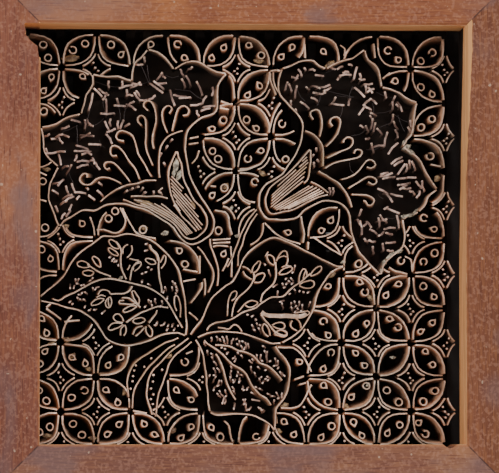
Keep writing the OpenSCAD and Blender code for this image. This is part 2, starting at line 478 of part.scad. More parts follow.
right_tulip = [
    [[36.4, 45.9], [33.8, 42.8], [31.2, 39.6], [28.9, 36.9], [26.9, 34.6], [24.9, 32.6], [22.2, 30.6],
        [19, 28.5], [16.3, 26.1], [14.8, 23.2], [14.3, 19.9], [14.8, 16.6], [16.2, 13.7], [18.1, 12.8],
        [20.5, 13.2], [23.3, 14], [26.7, 14.7], [29.5, 15.9], [34.6, 18.7], [38.6, 20.6], [42.4, 22],
        [45.7, 22.8]],
    [[36.4, 45.9], [36.7, 41.3], [36.7, 38], [36.4, 34.2], [35.2, 30.4], [32.9, 28.5]],
    [[36.2, 29.4], [38.6, 28.2], [41.4, 26.8], [45.7, 23.4]],
    [[33.6, 55.1], [36.7, 53.7], [40, 51.3], [42.4, 48], [43.1, 44.2], [42.9, 36.6]],
    [[40.5, 35.1], [44.3, 32.8], [48.1, 30.4], [51.4, 27.5], [54.3, 23.7], [56.2, 19.9], [57.4, 16]]];

module tulip_left() { color("peru") stood() strips(left_tulip); }
module tulip_right() { color("peru") stood() strips(right_tulip); }

// Straight hatching: [start of first, end of first, start of last, end of last, count]
hatches = [
    [[-32.2, 32], [-26.2, 25.6], [-32.7, 30.6], [-27, 24.2], 2],
    [[-25.4, 22.9], [-22.2, 18.9], [-25.4, 22.9], [-22.2, 18.9], 1],
    [[-32.6, 28.5], [-20.6, 15.2], [-32, 24.8], [-16.9, 7.4], 3],
    [[-31.4, 22.7], [-17.4, 5.4], [-30, 19.4], [-18.5, 4.8], 2],
    [[-50.6, 20], [-46.4, 18.9], [-50.6, 20], [-46.4, 18.9], 1],
    [[20.4, 27], [29.6, 35.4], [20.4, 27], [29.6, 35.4], 1],
    [[32.4, 39.6], [34.7, 42], [31.2, 36.9], [35, 40.6], 2],
    [[17.3, 22.4], [35.5, 39.2], [17, 16.4], [33, 29.9], 5],
    [[18.2, 16.1], [35.9, 27], [19.8, 15], [39.5, 26.3], 3],
    [[21.4, 14.9], [40.9, 25.6], [25.6, 15.6], [43.1, 24], 3]];

// Hatching that follows the bend of the left tulip's low petal
bent_hatches = [
    [[-47.5, 18], [-36, 12.9], [-29.2, 7.5], [-24.4, 2.2]],
    [[-44.2, 17.9], [-34.9, 13.3], [-28.4, 7.9], [-23.6, 2.5]],
    [[-40.8, 17.9], [-33.7, 13.8], [-27.5, 8.4], [-22.7, 2.9]],
    [[-37.5, 17.8], [-32.6, 14.2], [-26.7, 8.8], [-21.9, 3.2]]];

module tulip_hatching() {
    color("sandybrown") stood() {
        for (h = hatches, i = [0:h[4] - 1]) {
            f = i / max(1, h[4] - 1);
            strip([laid(h[0] + f * (h[2] - h[0])), laid(h[1] + f * (h[3] - h[1]))], bouquet_depth, hatch_t);
        }
        for (p = bent_hatches) strip(curve(p), bouquet_depth, hatch_t);
    }
}

// Stamens: a stalk with a curled head, drawn from the head
left_stamens = [
    [[-43.6, 64.5], [-46.1, 67], [-45.6, 69.2], [-43.2, 69.9], [-41.3, 68], [-40.1, 63.7], [-39.9, 59],
        [-41.1, 54.2], [-41.6, 49.4], [-40.9, 44.9]],
    [[-46.6, 56.8], [-48.7, 59], [-49, 61.1], [-47, 62.3], [-45.1, 59.9], [-44.7, 54.7], [-44.9, 48.5],
        [-44.2, 43.7], [-41.3, 36.6]],
    [[-55.1, 49.4], [-58.5, 49.7], [-59.7, 51.8], [-58.2, 54.2], [-54.7, 54.2], [-51.3, 51.8],
        [-49.9, 48], [-48.7, 43.2], [-45.6, 38], [-43.7, 34.2], [-41.4, 31.3]],
    [[-58.5, 42.5], [-61.3, 42], [-62.5, 44.2], [-61.6, 46.8], [-58.5, 46.6], [-55.6, 43.7],
        [-53.7, 39.9], [-50.9, 37], [-49.4, 34.2], [-47.8, 29.6]],
    [[-62.3, 36.3], [-64.2, 35.1], [-65.6, 36.6], [-64.7, 38.5], [-62, 39], [-59, 36.6], [-56.6, 34.2],
        [-54.2, 31.3], [-52.5, 28.7]],
    [[-73.9, 30.4], [-73.7, 32.3], [-75.1, 32.8], [-76.8, 31.3], [-77.3, 29.4], [-75.6, 27.6],
        [-72.4, 27.6], [-69.9, 29.9], [-66.6, 31.1], [-63.2, 30.9], [-59.9, 29.7], [-56.8, 27.6]],
    [[-34, 62.8], [-32.1, 65.6], [-33.3, 67.5], [-35.2, 67], [-36.9, 64.2], [-36.7, 60.4],
        [-35.2, 56.1], [-33.9, 53.4]],
    [[-27.1, 62.3], [-24.3, 62.8], [-23.6, 65.4], [-25.7, 67.5], [-28.6, 66.1], [-30.5, 61.3],
        [-31.9, 54.2]]];
right_stamens = [
    [[38.6, 60.4], [36.9, 62.8], [37.1, 64.7], [39, 65.9], [41, 65.1], [42.4, 62.3], [42.6, 58.5],
        [42.1, 54.7], [41.1, 51.4]],
    [[48.1, 56.8], [46.4, 59], [47.1, 61.3], [49.5, 62.3], [51.4, 60.9], [51.4, 58], [50, 53.7],
        [47.6, 49.9], [44.3, 46.6]],
    [[52.9, 48.5], [53.3, 50.4], [55.2, 51.8], [57.6, 51.3], [57.9, 49], [56.2, 46.6], [51.9, 44.7],
        [48.1, 43], [44.3, 41.3]],
    [[58.1, 43.2], [59, 45.4], [61, 45.6], [62.1, 44.4], [61, 42.3], [57.6, 41.1], [52.9, 40.1],
        [48.1, 38.7], [43.6, 36.1]],
    [[64.3, 37.4], [66.6, 36.3], [69, 38], [67.1, 40.4], [64.3, 39.9], [61.4, 35.6], [58.6, 32.8],
        [54.8, 30.9], [51.4, 30.4]],
    [[64.8, 29.7], [67.1, 28.2], [69, 28.7], [69.3, 30.4], [67.6, 31.8], [65.2, 31.8], [62.4, 30.4],
        [58.6, 28.2], [55.2, 25.6]],
    [[62.4, 20.1], [64, 19.4], [65.2, 17.5], [67.1, 17.5], [68.3, 19.7], [67.1, 21.3], [63.8, 22.7],
        [60, 23.2], [56.4, 23]]];

module stamens() {
    color("peru") stood() {
        strips(left_stamens);
        strips(right_stamens);
    }
}

// Is p inside the outline? Counts the edges to its right.
function inside(p, o) =
    let (m = len(o))
    len([for (i = [0:m - 1]) let (a = o[i], b = o[(i + 1) % m])
        if ((a.y > p.y) != (b.y > p.y) && p.x < a.x + (b.x - a.x) * (p.y - a.y) / (b.y - a.y)) 1]) % 2 == 1;

// A bent wire's knee lies this deep. Its foot and tip keep these distances from the strips.
knee = 2.6;
wire_reach = 2;
foot_gap = 1.9;
tip_gap = 1.35;

// Distance from p to the nearest strip, sampled along the paths
function clearance(p, samples) = min([for (s = samples) norm(p - s)]);
function samples(paths) = [for (p = paths) each curve(p, 4)];

// Loosely even wires inside an outline, foot and tip clear of its strips: [foot, direction, reach]
function scatter(o, paths, x0, x1, y0, y1, step, longest, seed) =
    let (cols = floor((x1 - x0) / step), rows = floor((y1 - y0) / step), s = samples(paths))
    let (r = rands(0, 1, 4 * (cols + 1) * (rows + 1), seed))
    [for (i = [0:cols], j = [0:rows])
        let (k = 4 * (i * (rows + 1) + j), far = wire_reach + (longest - wire_reach) * r[k + 3])
        let (foot = [x0 + (i + 0.7 * r[k] + (j % 2) / 2) * step, y0 + (j + 0.7 * r[k + 1]) * step])
        if (inside(foot, o) && clearance(foot, s) > foot_gap)
            let (free = [for (d = [0, 120, 240])
                let (a = 360 * r[k + 2] + d, tip = foot + far * [cos(a), sin(a)])
                if (inside(tip, o) && min(clearance(tip, s), clearance((foot + tip) / 2, s)) > tip_gap) a])
            if (len(free) > 0) [foot, free[0], far]];

// Soft wires that stand on a plate, their tops knocked over sideways
module bent_pins(places) {
    for (p = places) translate([p[0].x, p[0].y, 0]) rotate([90, 0, p[1]])
        translate([-wire_t / 2, 0, -wire_t / 2]) linear_extrude(wire_t)
            polygon([[0, -bouquet_depth], [wire_t, -bouquet_depth], [wire_t, -knee], [p[2], -wire_t],
                [p[2], 0], [0, wire_t - knee]]);
}

module flower_pins() {
    left_paths = concat(left_rim, left_tulip, left_stamens);
    right_paths = concat(right_rim, right_tulip, right_stamens);
    // The heart of a tulip is hatched, so no wire stands there.
    left_heart = concat(closed(left_tulip[0]), [[-33, 22]]);
    right_heart = closed(right_tulip[0]);
    color("rosybrown") stood() {
        bent_pins([for (p = scatter(outline(left_rim), left_paths, -95, -8, 0, 94, 4.4, 4.4, 5))
            if (!inside(p[0], left_heart)) p]);
        bent_pins([for (p = scatter(outline(right_rim), right_paths, 13, 98, -16, 94, 4.4, 4.4, 8))
            if (!inside(p[0], right_heart)) p]);
    }
}

// Stems stand on the lattice, as the ground does
stem_paths = [
    [[-19.5, -3.4], [-17.1, -5.9], [-14.8, -9.6], [-12.6, -13.4], [-11.3, -16.8], [-11.5, -20.6],
        [-12.9, -24.4], [-14.3, -27.2]],
    [[-12.9, 0.9], [-12.6, -2.5], [-11.4, -6.8], [-10, -11], [-9, -15.3], [-9, -20.1], [-9.5, -23.9]],
    [[10.4, 15.6], [7.6, 12.3], [5.2, 8.9], [3.1, 4.6], [1.2, 0.3], [-0.4, -4.5], [-2, -9.1], [-5, -14.4]],
    [[10.6, 13.4], [7.9, 9.7], [6, 6.4], [4.1, 1.8], [2.7, -2.5], [1.3, -6.3], [0.8, -9.6], [0.5, -13.9]],
    [[13.3, 8.9], [13.3, 5.6], [12.6, 2.3], [10, -0.6], [6.4, -3]],
    [[-23.7, -36.3], [-20.4, -39], [-18.9, -41]]];

module stems() { color("peru") stood() strips(stem_paths, strip_t, strip_depth); }

left_leaf = [
    [-97, -29], [-92.9, -26], [-88.1, -21.7], [-85.2, -18.9], [-82.9, -14.6], [-80, -9.8], [-76.2, -6],
    [-71.4, -2.7], [-67.6, 0.2], [-65.2, 1.4], [-60.5, 1.4], [-57.1, 2.3], [-52.4, 2.5], [-47.6, 1.6],
    [-42.9, -0.3], [-39, -2.7], [-33.5, -8], [-30.5, -12.2], [-28.6, -16.5], [-27.4, -20.1],
    [-26.4, -24.4], [-25.5, -28.7], [-25, -33.4], [-24.8, -38.5], [-24.6, -44], [-25, -48.6]];
left_leaf_low = [
    [-25, -48.6], [-28.6, -47], [-34.3, -47.7], [-39, -49.3], [-44.8, -51.7], [-49.5, -53.1],
    [-54.3, -53.6], [-59.5, -52.7], [-63.8, -50.5], [-66.2, -47], [-68.6, -43.1], [-71.4, -39.8],
    [-75.2, -37], [-78.6, -35.5], [-83.3, -34.6], [-88.1, -33.1], [-92.9, -31.7], [-97, -30.8]];
right_leaf = [
    [-23, -48.2], [-21.1, -45.4], [-17.8, -41.1], [-15.4, -35.9], [-12.6, -30.2], [-9.7, -26.9],
    [-5, -23], [-1.6, -20.7], [0.8, -15.9], [3.6, -9.7], [7.4, -5], [11.2, -2.1], [16, 0.5],
    [19.3, 1], [23.6, -0.6], [30.3, -3.8], [37.9, -7.5], [45.7, -11.5], [49.5, -13.4], [53, -13.6]];
right_leaf_side = [
    [53, -13.6], [49.5, -14.9], [46.7, -16.8], [44.1, -20.2], [41.2, -24.5], [39.3, -29.2],
    [38.1, -34.5], [36, -39.2], [32.2, -45], [27.4, -49.2], [22.2, -51.9]];
right_leaf_low = [
    [22.2, -51.9], [17.9, -52.3], [14.1, -51.1], [9.3, -49.5], [3.6, -47.3], [-2.6, -46.5],
    [-8.3, -46.1], [-14.5, -47.3], [-19.6, -49.6]];

module leaf_plate_left() { color("saddlebrown") stood() plate(outline([left_leaf, left_leaf_low])); }
module leaf_plate_right() {
    color("saddlebrown") stood() plate(outline([right_leaf, right_leaf_side, right_leaf_low]));
}
module leaf_rims() {
    color("peru") stood() strips([left_leaf, left_leaf_low, right_leaf, right_leaf_side, right_leaf_low]);
}

left_branches = [
    [[-91, -29.6], [-87.6, -31.2], [-84.3, -28.9], [-80, -27.2], [-76.2, -25], [-71.4, -22.2],
        [-66.7, -20.5], [-61.9, -20], [-57.1, -20.8], [-52.4, -22], [-47.6, -23.1], [-42.9, -24.6],
        [-39.5, -26.5], [-36.2, -29.3], [-33.3, -33.1], [-31, -37], [-28.4, -41.5], [-26.3, -45.2]],
    [[-74.3, -12.7], [-70.5, -15], [-66.7, -17], [-63.8, -18.1], [-61.2, -19.3]],
    [[-54, -20.7], [-55.7, -17.4], [-56.9, -14.1], [-57.1, -9.8], [-56.9, -6.5], [-57.6, -3.1],
        [-59.5, -0.8]],
    [[-52.4, -21.4], [-52, -17], [-51.4, -14.1], [-49.5, -12.2], [-47.4, -12]],
    [[-42.9, -2.7], [-41.9, -5], [-39.5, -7], [-38.3, -9.8], [-38.6, -14.1], [-38.1, -18.9],
        [-36.9, -23.6], [-37.1, -27.4]],
    [[-51.4, -23.1], [-52.9, -26], [-55.2, -27.4], [-59, -27.4], [-62.4, -27.7]],
    [[-56.7, -29.6], [-53.3, -29.8], [-50, -31.9], [-46.7, -34.6]],
    [[-33.2, -34.4], [-35.7, -34.3], [-39, -33.9], [-42.9, -35.3], [-46.2, -36.5], [-50.5, -38.9],
        [-54.8, -42.2]],
    [[-39.3, -35.2], [-39.5, -37.4], [-41.4, -39.8], [-43.9, -42.5]]];
right_branches = [
    [[-15, -46.2], [-13.5, -43.5], [-10.2, -41.9], [-5.9, -41.1], [-2.1, -40.2], [0.8, -38.3],
        [4.6, -35.9], [9.3, -34.5], [12.2, -32.1], [16, -29.7], [18.9, -29.2], [22.7, -28.8],
        [25.5, -26.4], [28.4, -23.5], [32.2, -21.1], [35, -18.3], [37, -16.9]],
    [[11.7, -31.9], [13.1, -27.3], [16, -24.5], [18.4, -22.1], [19.6, -18.8], [19.8, -15], [19.6, -10.6]],
    [[-2.4, -39.7], [-1.6, -35], [-0.2, -31.1], [1.7, -28.3], [5.5, -25], [7.9, -22.1], [8.9, -18.8],
        [8.4, -15.9]],
    [[11.7, -37.6], [14.1, -40.7], [16.5, -43.5], [18.9, -46.4], [21.7, -48], [24.3, -48.3],
        [24.8, -46.9], [23.1, -45.9], [20.6, -45.7]]];
leaning_stem = [[11.8, -36.4], [14.1, -37.8], [17.9, -38.3], [22.2, -38.5], [26.5, -38.5], [30.8, -38.8],
    [33.6, -38.2], [35, -36.9]];

module leaf_branches() {
    color("peru") stood() {
        strips(left_branches);
        strips(right_branches);
        strips([leaning_stem], leaning_t);
    }
}

// Small loops beside the branches, each a closed strip
leaf_loops = [
    [[-71.2, -9.5], [-69.5, -9.3], [-67.1, -12.7], [-67.6, -14.6], [-69.5, -13.6], [-70.8, -11.4]],
    [[-75.6, -17.6], [-73.6, -16.6], [-71, -17], [-71.6, -18.6], [-74.3, -18.9]],
    [[-62.9, -5.2], [-60.2, -5], [-58.4, -7.9], [-60, -8.6], [-61.9, -7.2]],
    [[-44.8, -10.5], [-41.4, -9.8], [-39.9, -12.2], [-41.4, -12.9], [-43.3, -12]],
    [[-36.9, -12.9], [-36.9, -9.8], [-35.3, -8.4], [-34.4, -10.3], [-35.5, -13.4]],
    [[-68.8, -29.3], [-67.1, -27.9], [-65.2, -28.7], [-65.4, -30.2], [-67, -30.8]],
    [[-57.4, -42.4], [-58, -39.9], [-60.4, -39.1], [-61.2, -40.9], [-59, -42.2]],
    [[-58.5, -43.6], [-62.3, -43.4], [-63.3, -45.6], [-60, -45.6]],
    [[-55.1, -44.2], [-57, -46.6], [-57.3, -49], [-55.6, -48.7], [-54.5, -46.4]],
    [[-46.6, -42.2], [-49.6, -42.4], [-50.9, -41.1], [-48.6, -39.9], [-46.4, -40.6]],
    [[-44.2, -44], [-42.6, -44.4], [-42, -46.6], [-42.8, -49], [-44.7, -47.5]],
    [[-30.5, -34.2], [-30.2, -30.3], [-29.1, -28.9], [-27.6, -31], [-27.9, -34.1]],
    [[-4.6, -37.2], [-4.9, -32.5], [-3.4, -28.3], [-1.1, -26.2], [0, -27.2], [-0.9, -30.4], [-2.7, -34.4],
        [-3.6, -37.4]],
    [[2.4, -34.6], [4, -32.5], [6.8, -31.2], [9.1, -31.7], [9.2, -33.3], [6.8, -34], [4.2, -34.7]],
    [[19.1, -10.2], [18.4, -8.2], [16.1, -7.4], [15.4, -8.6], [16.4, -10.6], [18.1, -11.8]],
    [[20.6, -9.7], [21.9, -7.2], [23.8, -5.8], [25.3, -7.7], [24.8, -10.4], [22.4, -11.2]],
    [[21.9, -15.1], [23.8, -13.6], [26.8, -13.6], [26.2, -15.5], [23.3, -16.1]],
    [[8.9, -14.9], [9.7, -12.8], [11.3, -11.3], [11.2, -13.8], [9.9, -15.8]],
    [[9.9, -20.3], [10.7, -18], [13.7, -17.3], [13.2, -19.5], [11.7, -20.7]],
    [[37, -15.7], [38.6, -13.8], [41, -12.9], [41.2, -15], [39.1, -16.7]],
    [[30.9, -19.2], [31, -17.5], [32.5, -14.9], [34, -14.1], [34.8, -15.8], [33, -18.2]],
    [[32.4, -22.4], [34.3, -21.3], [38, -21.1], [38, -22.6], [35.5, -23.6], [33, -23.4]],
    [[17.6, -43], [19.3, -42.1], [23, -42.1], [23.3, -43.6], [20.8, -44.2]],
    [[13.8, -42.9], [13.8, -45], [15.3, -47.2], [16.3, -47], [15.9, -44.9]]];

// Single curved strips beside the branches
leaf_slips = [
    [[-74.8, -11.7], [-78.1, -11.7], [-78.6, -12.9], [-77.1, -14.3]], [[-62.3, -0.6], [-61.4, -2.2],
        [-59.3, -2.9]],
    [[-55.6, -7.4], [-55, -4.6], [-53.6, -2.7]], [[-51.4, -3.6], [-51.9, -6.5], [-54.3, -9.3]],
    [[-52.9, -9.6], [-50, -10.6], [-47.6, -10.9]], [[-47.6, -13.2], [-48.3, -14.5], [-50.3, -16.2]],
    [[-52.9, -13], [-54.2, -15.3]], [[-67.6, -26.3], [-64.3, -25.4], [-62.4, -26.2]],
    [[-69, -31.8], [-71.7, -32], [-71.9, -33.3], [-69, -33.3], [-66.7, -31.9]],
    [[-63.8, -29.6], [-64.6, -32.2], [-63.6, -34.6], [-62.2, -32.7], [-61.4, -30]],
    [[-50.6, -26.6], [-48.8, -28.4], [-47.7, -30.8]], [[-52, -26.6], [-51.2, -28.7]],
    [[-58.1, -32.2], [-54.8, -32.2], [-51.8, -32.4]],
    [[-49.5, -33.9], [-52.4, -35.8], [-54.8, -36.5], [-56, -36], [-54.8, -34.6], [-51.9, -34]],
    [[-48.2, -44], [-51.6, -48.2]], [[7.6, -14.9], [6.2, -13.6], [3.8, -13.1]],
    [[7.2, -19.3], [4.6, -18.1], [3.4, -15.9]], [[35.4, -35.9], [33.1, -36], [30.5, -36.5]],
    [[27.9, -40.4], [27.2, -43], [29.8, -45.4]], [[29.8, -40.2], [31.5, -41.5], [32, -44]],
    [[-8.8, -44], [-5, -44.8], [-2.6, -44], [-0.7, -43], [1.7, -43.6], [3, -44.8]],
    [[29.3, -12.1], [28.4, -15.9]]];

module leaflets() {
    color("chocolate") stood() {
        for (p = leaf_loops) loop_strip(p, leaflet_t);
        strips(leaf_slips, leaflet_t);
    }
}

leaf_pin_places = [
    [-83.8, -32.4], [-81.7, -33.1], [-76.7, -22.2], [-79.5, -20.8], [-80.4, -24.6], [-79.5, -28.9],
    [-75.2, -30.8], [-71.4, -26], [-69, -25], [-72.9, -35.5], [-71, -35.8], [-66.7, -37.4], [-43.3, -30.8],
    [-41.9, -32.4], [-39.8, -31.2], [-36.7, -32.7], [-39.5, -42.4], [-36, -42.7], [-34, -44.1],
    [-34.3, -46], [-31, -43.6], [-43.3, -15], [-41.7, -16.6], [-46.9, -17.4], [-46.4, -21.2],
    [-42.9, -22.2], [-34, -25], [-58.9, -13.1], [-63.4, -10], [-65, -6], [-68, -3], [-61, -12.4],
    [-46, -3.2], [-44.5, -6.6], [-72.4, -9], [-66, -41], [-62, -48.6], [-52.3, -45.4], [14.6, -12.1],
    [16.5, -15.4], [17, -18.3], [22.1, -21.4], [18.4, -26], [23.6, -22.6], [26.5, -20.6], [28.4, -18.6],
    [21.2, -26.6], [26.7, -28], [29.1, -25.7], [33.6, -25.7], [36, -26.1], [21.7, -31.1], [23.3, -32.6],
    [27.4, -32.1], [29.3, -30.7], [30.8, -33.5], [32.7, -31.5], [33.6, -34.2], [28.4, -34.5],
    [36.3, -32.1], [6, -38.6], [8.4, -40], [10.2, -43.6], [8.9, -46.3], [4.4, -28.6], [6.7, -27.4],
    [9.6, -25.4], [12.6, -22.6], [-9.8, -38.6], [-11.8, -34.8], [-7, -35], [-7.8, -30.4], [11.9, -7.2],
    [27.8, -8.2], [34, -10], [43, -17]];

module leaf_pins() { color("rosybrown") stood() pins(leaf_pin_places, bouquet_depth); }

fern_left = [
    [-20.4, -50.4], [-18.1, -54.2], [-16.2, -58], [-15.5, -62.8], [-15, -67.5], [-14.8, -72.8],
    [-14, -77.5], [-13.8, -82.3], [-12.9, -86.8]];
fern_low = [
    [-12.9, -86.8], [-10.4, -88], [-6.7, -88.2], [-1.9, -88], [2.9, -87.8], [7.6, -88.5], [11.4, -89.9],
    [14.8, -91.8], [17.1, -93.7], [19, -96.6]];
fern_right = [
    [19, -96.6], [19.2, -91], [19.5, -85.6], [21.4, -82.8], [23.3, -79.9], [25.2, -76.1], [25.7, -72.3],
    [26.4, -67.5], [26.2, -63.7], [24.3, -59.9], [21.4, -57], [19.2, -53.2]];
fern_veins = [
    [[-16.2, -50.4], [-14.3, -52.8], [-9.5, -55.6], [-5.7, -59], [-1.9, -62.8], [1.9, -65.1],
        [4.8, -67.5], [6.7, -71.3], [8.1, -74.2], [11.4, -78], [14.8, -79.9], [17.6, -83.7]],
    [[-11, -53.2], [-6.7, -53.2], [-2.4, -54], [1, -55.9], [5.2, -57], [8.6, -58.7], [11.4, -61.8],
        [15.2, -63.5], [18.1, -66.1], [21, -69], [22.9, -71.3]],
    [[-10.6, -57.1], [-9, -59.4], [-7.1, -63.7], [-5.7, -68.5], [-4.3, -73.2], [-2.4, -77.5], [0, -81.1]]];

// The fern's plate ends where the right leaf's lower edge begins.
fern_top = concat([[19.2, -53.2]], [for (p = right_leaf_low) p - [0, 0.8]]);
fern_outline = outline([fern_left, fern_low, fern_right, fern_top]);

module fern_plate() { color("saddlebrown") stood() plate(fern_outline); }
module fern_strips() { color("peru") stood() strips(concat([fern_left, fern_low, fern_right], fern_veins)); }
module fern_pins() {
    paths = concat([fern_left, fern_low, fern_right, fern_top], fern_veins);
    color("rosybrown") stood() bent_pins(scatter(fern_outline, paths, -17, 26, -94, -50, 3.6, 2.6, 3));
}

// Four narrow leaf edges below the junction, standing on the lattice
narrow_paths = [
    [[-28.1, -49.6], [-31.4, -50.9], [-35.2, -52.3], [-39.8, -55], [-43.7, -57.6], [-48.5, -60.7],
        [-51.3, -63.8], [-52.8, -67], [-53.7, -72.3], [-53.2, -79.9]],
    [[-30, -52.9], [-32.9, -54.7], [-36.2, -57.4], [-40.4, -61.7], [-44.7, -66.3], [-48, -71.3],
        [-50.4, -76.1], [-51.3, -80.9], [-51.3, -85.6]],
    [[-23.3, -49.3], [-27.6, -52.7], [-32.9, -57.2], [-36.6, -61.3], [-40.4, -65.1], [-43.2, -69.9],
        [-44.2, -74.7], [-44.2, -79.4], [-42.4, -85.1], [-41.4, -88.5]],
    [[-21.6, -51.2], [-24.8, -53.7], [-29, -57.5], [-31.9, -60.9], [-33.8, -63.7], [-34.8, -67.5],
        [-36.2, -72.3], [-38.1, -77.5], [-39.3, -83.7], [-39.8, -89.4]]];
narrow_pin_places = [
    [-41.8, -59.6], [-49, -63.4], [-50.4, -65.9], [-45.5, -64.2], [-50.9, -69], [-51.1, -71.6],
    [-52.2, -75.4], [-38.9, -65.6], [-39.4, -68.5], [-41.3, -71.7], [-42.3, -75.1], [-39.7, -78],
    [-42.3, -80.3], [-41.3, -82.8]];

// What the ground strips are cut back to: the plates, and the strips along and between them
bouquet_outlines = [outline(left_rim), outline(right_rim), outline([left_leaf, left_leaf_low]),
    outline([right_leaf, right_leaf_side, right_leaf_low]), fern_outline];
bouquet_edges = concat(left_rim, right_rim, stem_paths, narrow_paths,
    [left_leaf, left_leaf_low, right_leaf, right_leaf_side, right_leaf_low, fern_left, fern_low, fern_right]);

// Moves a pin sideways onto the nearest upright
function near_bar(x) = bar_w / 2 * max(-1, min(1, 2 * (x - round(2 * x / pitch) * pitch / 2) / bar_w));
function on_bar(p) = [round(2 * p.x / pitch) * pitch / 2 + near_bar(p.x), p.y];

module narrow_leaves() { color("peru") stood() strips(narrow_paths, strip_t, strip_depth); }
module narrow_leaf_pins() {
    color("rosybrown") stood() pins([for (p = narrow_pin_places) on_bar(p)], strip_depth);
}

// Lattice of flat copper bars behind the strips: uprights in front, crossbars behind them
module lattice_uprights() {
    color("sienna") stood() for (k = [-upright_count:upright_count])
        translate([k * pitch / 2 - bar_w / 2, in_y0, upright_z])
            cube([bar_w, cell_rise * half_grid * pitch + upright_over - in_y0, bar_d]);
}

module lattice_crossbars() {
    reach_x = half_grid * pitch + bar_w / 2;
    color("sienna") stood() for (j = [-half_grid:half_grid])
        translate([-reach_x, cell_rise * j * pitch - bar_w / 2, crossbar_z])
            cube([2 * reach_x, bar_w, bar_d]);
}

// Section of a rail: the front lip and the wall behind it, chamfered in front
rail_section = [
    [edge, lip_t], [rail_w - edge, lip_t], [rail_w, lip_t - edge], [rail_w, 0], [wall_w, 0],
    [wall_w, -rebate_d], [0, -rebate_d], [0, lip_t - edge]];

// Rail along x with its outer face on y = 0, mitred at both ends
module rail(length) {
    depth = lip_t + rebate_d;
    intersection() {
        rotate([90, 0, 90]) translate([0, 0, -length / 2]) linear_extrude(length) polygon(rail_section);
        translate([0, 0, -rebate_d - 1]) linear_extrude(depth + 2)
            polygon([[-length / 2, 0], [length / 2, 0], [length / 2 - rail_w, rail_w],
                [rail_w - length / 2, rail_w]]);
    }
}

// Pilot holes for one hanger's screws, bored into the back of a side rail
module pilot_holes(x) {
    for (drop = screw_drops) translate([x, hanger_y - drop, -rebate_d - 1])
        cylinder(h = screw_l + 2, r = screw_r + play);
}

// The bottom rail is nicked at its inner edge near the right corner.
module rail_bottom() {
    color("brown") stood() difference() {
        translate([frame_cx, frame_y0, 0]) rail(frame_x1 - frame_x0);
        linear_extrude(lip_t + 1)
            polygon([[99, -100.5], [99, -101], [100.2, -102], [101.4, -102.7], [102.6, -102.9],
                [104.1, -102.2], [105.8, -101], [105.8, -100.5]]);
    }
}
module rail_top() {
    color("brown") stood() translate([frame_cx, frame_y1, 0]) rotate(180) rail(frame_x1 - frame_x0);
}

// The left rail has lost a splinter at its upper inner corner, up to the mitre.
module rail_left() {
    color("brown") stood() difference() {
        translate([frame_x0, frame_cy, 0]) rotate(-90) rail(frame_y1 - frame_y0);
        linear_extrude(lip_t + 1)
            polygon([[-96, 86], [-98, 87], [-98.7, 92.2], [-102.3, 95.1], [-104.8, 98.2], [-104.3, 99.4],
                [-105.2, 102.8], [-104.6, open_y1], [-96, open_y1]]);
        pilot_holes(hanger_left_x);
    }
}

module rail_right() {
    color("brown") stood() difference() {
        translate([frame_x1, frame_cy, 0]) rotate(90) rail(frame_y1 - frame_y0);
        pilot_holes(hanger_right_x);
    }
}

// Black boards behind the lattice. They meet on y = 0, where each is notched round the handle's legs.
module lining_board(y0, y1) {
    difference() {
        translate([in_x0 + fit, y0, board_z]) cube([in_x1 - in_x0 - 2 * fit, y1 - y0, board_t]);
        for (side = [-1, 1]) translate([side * leg_gap / 2, 0, board_z - 1])
            cylinder(h = board_t + 2, r = leg_hole_r);
    }
}

module lining_board_top() { color("dimgray") stood() lining_board(0, in_y1 - fit); }
module lining_board_bottom() { color("dimgray") stood() lining_board(in_y0, 0); }

// Beads that hold the boards against the stamp, tight to the frame's walls
module bead_bar(x0, y0, x1, y1) {
    color("black") stood() translate([x0, y0, board_z - bead]) cube([x1 - x0, y1 - y0, bead]);
}

module bead_top() { bead_bar(in_x0, in_y1 - bead, in_x1, in_y1); }
module bead_bottom() { bead_bar(in_x0, in_y0, in_x1, in_y0 + bead); }
module bead_left() { bead_bar(in_x0, in_y0 + bead, in_x0 + bead, in_y1 - bead); }
module bead_right() { bead_bar(in_x1 - bead, in_y0 + bead, in_x1, in_y1 - bead); }

// Strap folded round the D-ring's straight side and screwed to the back of a rail
module hanger_strap(x) {
    color("silver") stood() difference() {
        union() {
            translate([x - strap_w / 2, hanger_y - strap_l, -rebate_d - strap_t])
                cube([strap_w, strap_l, strap_t]);
            translate([x - strap_w / 2, hanger_y, hinge_z]) rotate([0, 90, 0])
                cylinder(h = strap_w, r = loop_r);
        }
        translate([x - strap_w, hanger_y, hinge_z]) rotate([0, 90, 0])
            cylinder(h = 2 * strap_w, r = d_wire / 2 + play);
        for (drop = screw_drops) translate([x, hanger_y - drop, -rebate_d - strap_t - 1])
            cylinder(h = strap_t + 2, r = screw_r + play);
    }
}

module hanger_strap_left() { hanger_strap(hanger_left_x); }
module hanger_strap_right() { hanger_strap(hanger_right_x); }

// D-ring: half a circle of wire closed by a straight side, with rounded corners
module hanger_ring(x) {
    color("silver") stood() translate([x, hanger_y, hinge_z]) union() {
        rotate(180) rotate_extrude(angle = 180) translate([d_ring_r, 0]) circle(d_wire / 2);
        translate([-d_ring_r, 0, 0]) rotate([0, 90, 0]) cylinder(h = 2 * d_ring_r, r = d_wire / 2);
        for (side = [-1, 1]) translate([side * d_ring_r, 0, 0]) sphere(d_wire / 2);
    }
}

module hanger_ring_left() { hanger_ring(hanger_left_x); }
module hanger_ring_right() { hanger_ring(hanger_right_x); }

module hanger_screws() {
    color("gold") stood() for (x = [hanger_left_x, hanger_right_x], drop = screw_drops)
        translate([x, hanger_y - drop, -rebate_d - strap_t]) union() {
            translate([0, 0, -screw_head_t]) cylinder(h = screw_head_t, r = screw_head_r);
            cylinder(h = screw_l, r = screw_r);
        }
}

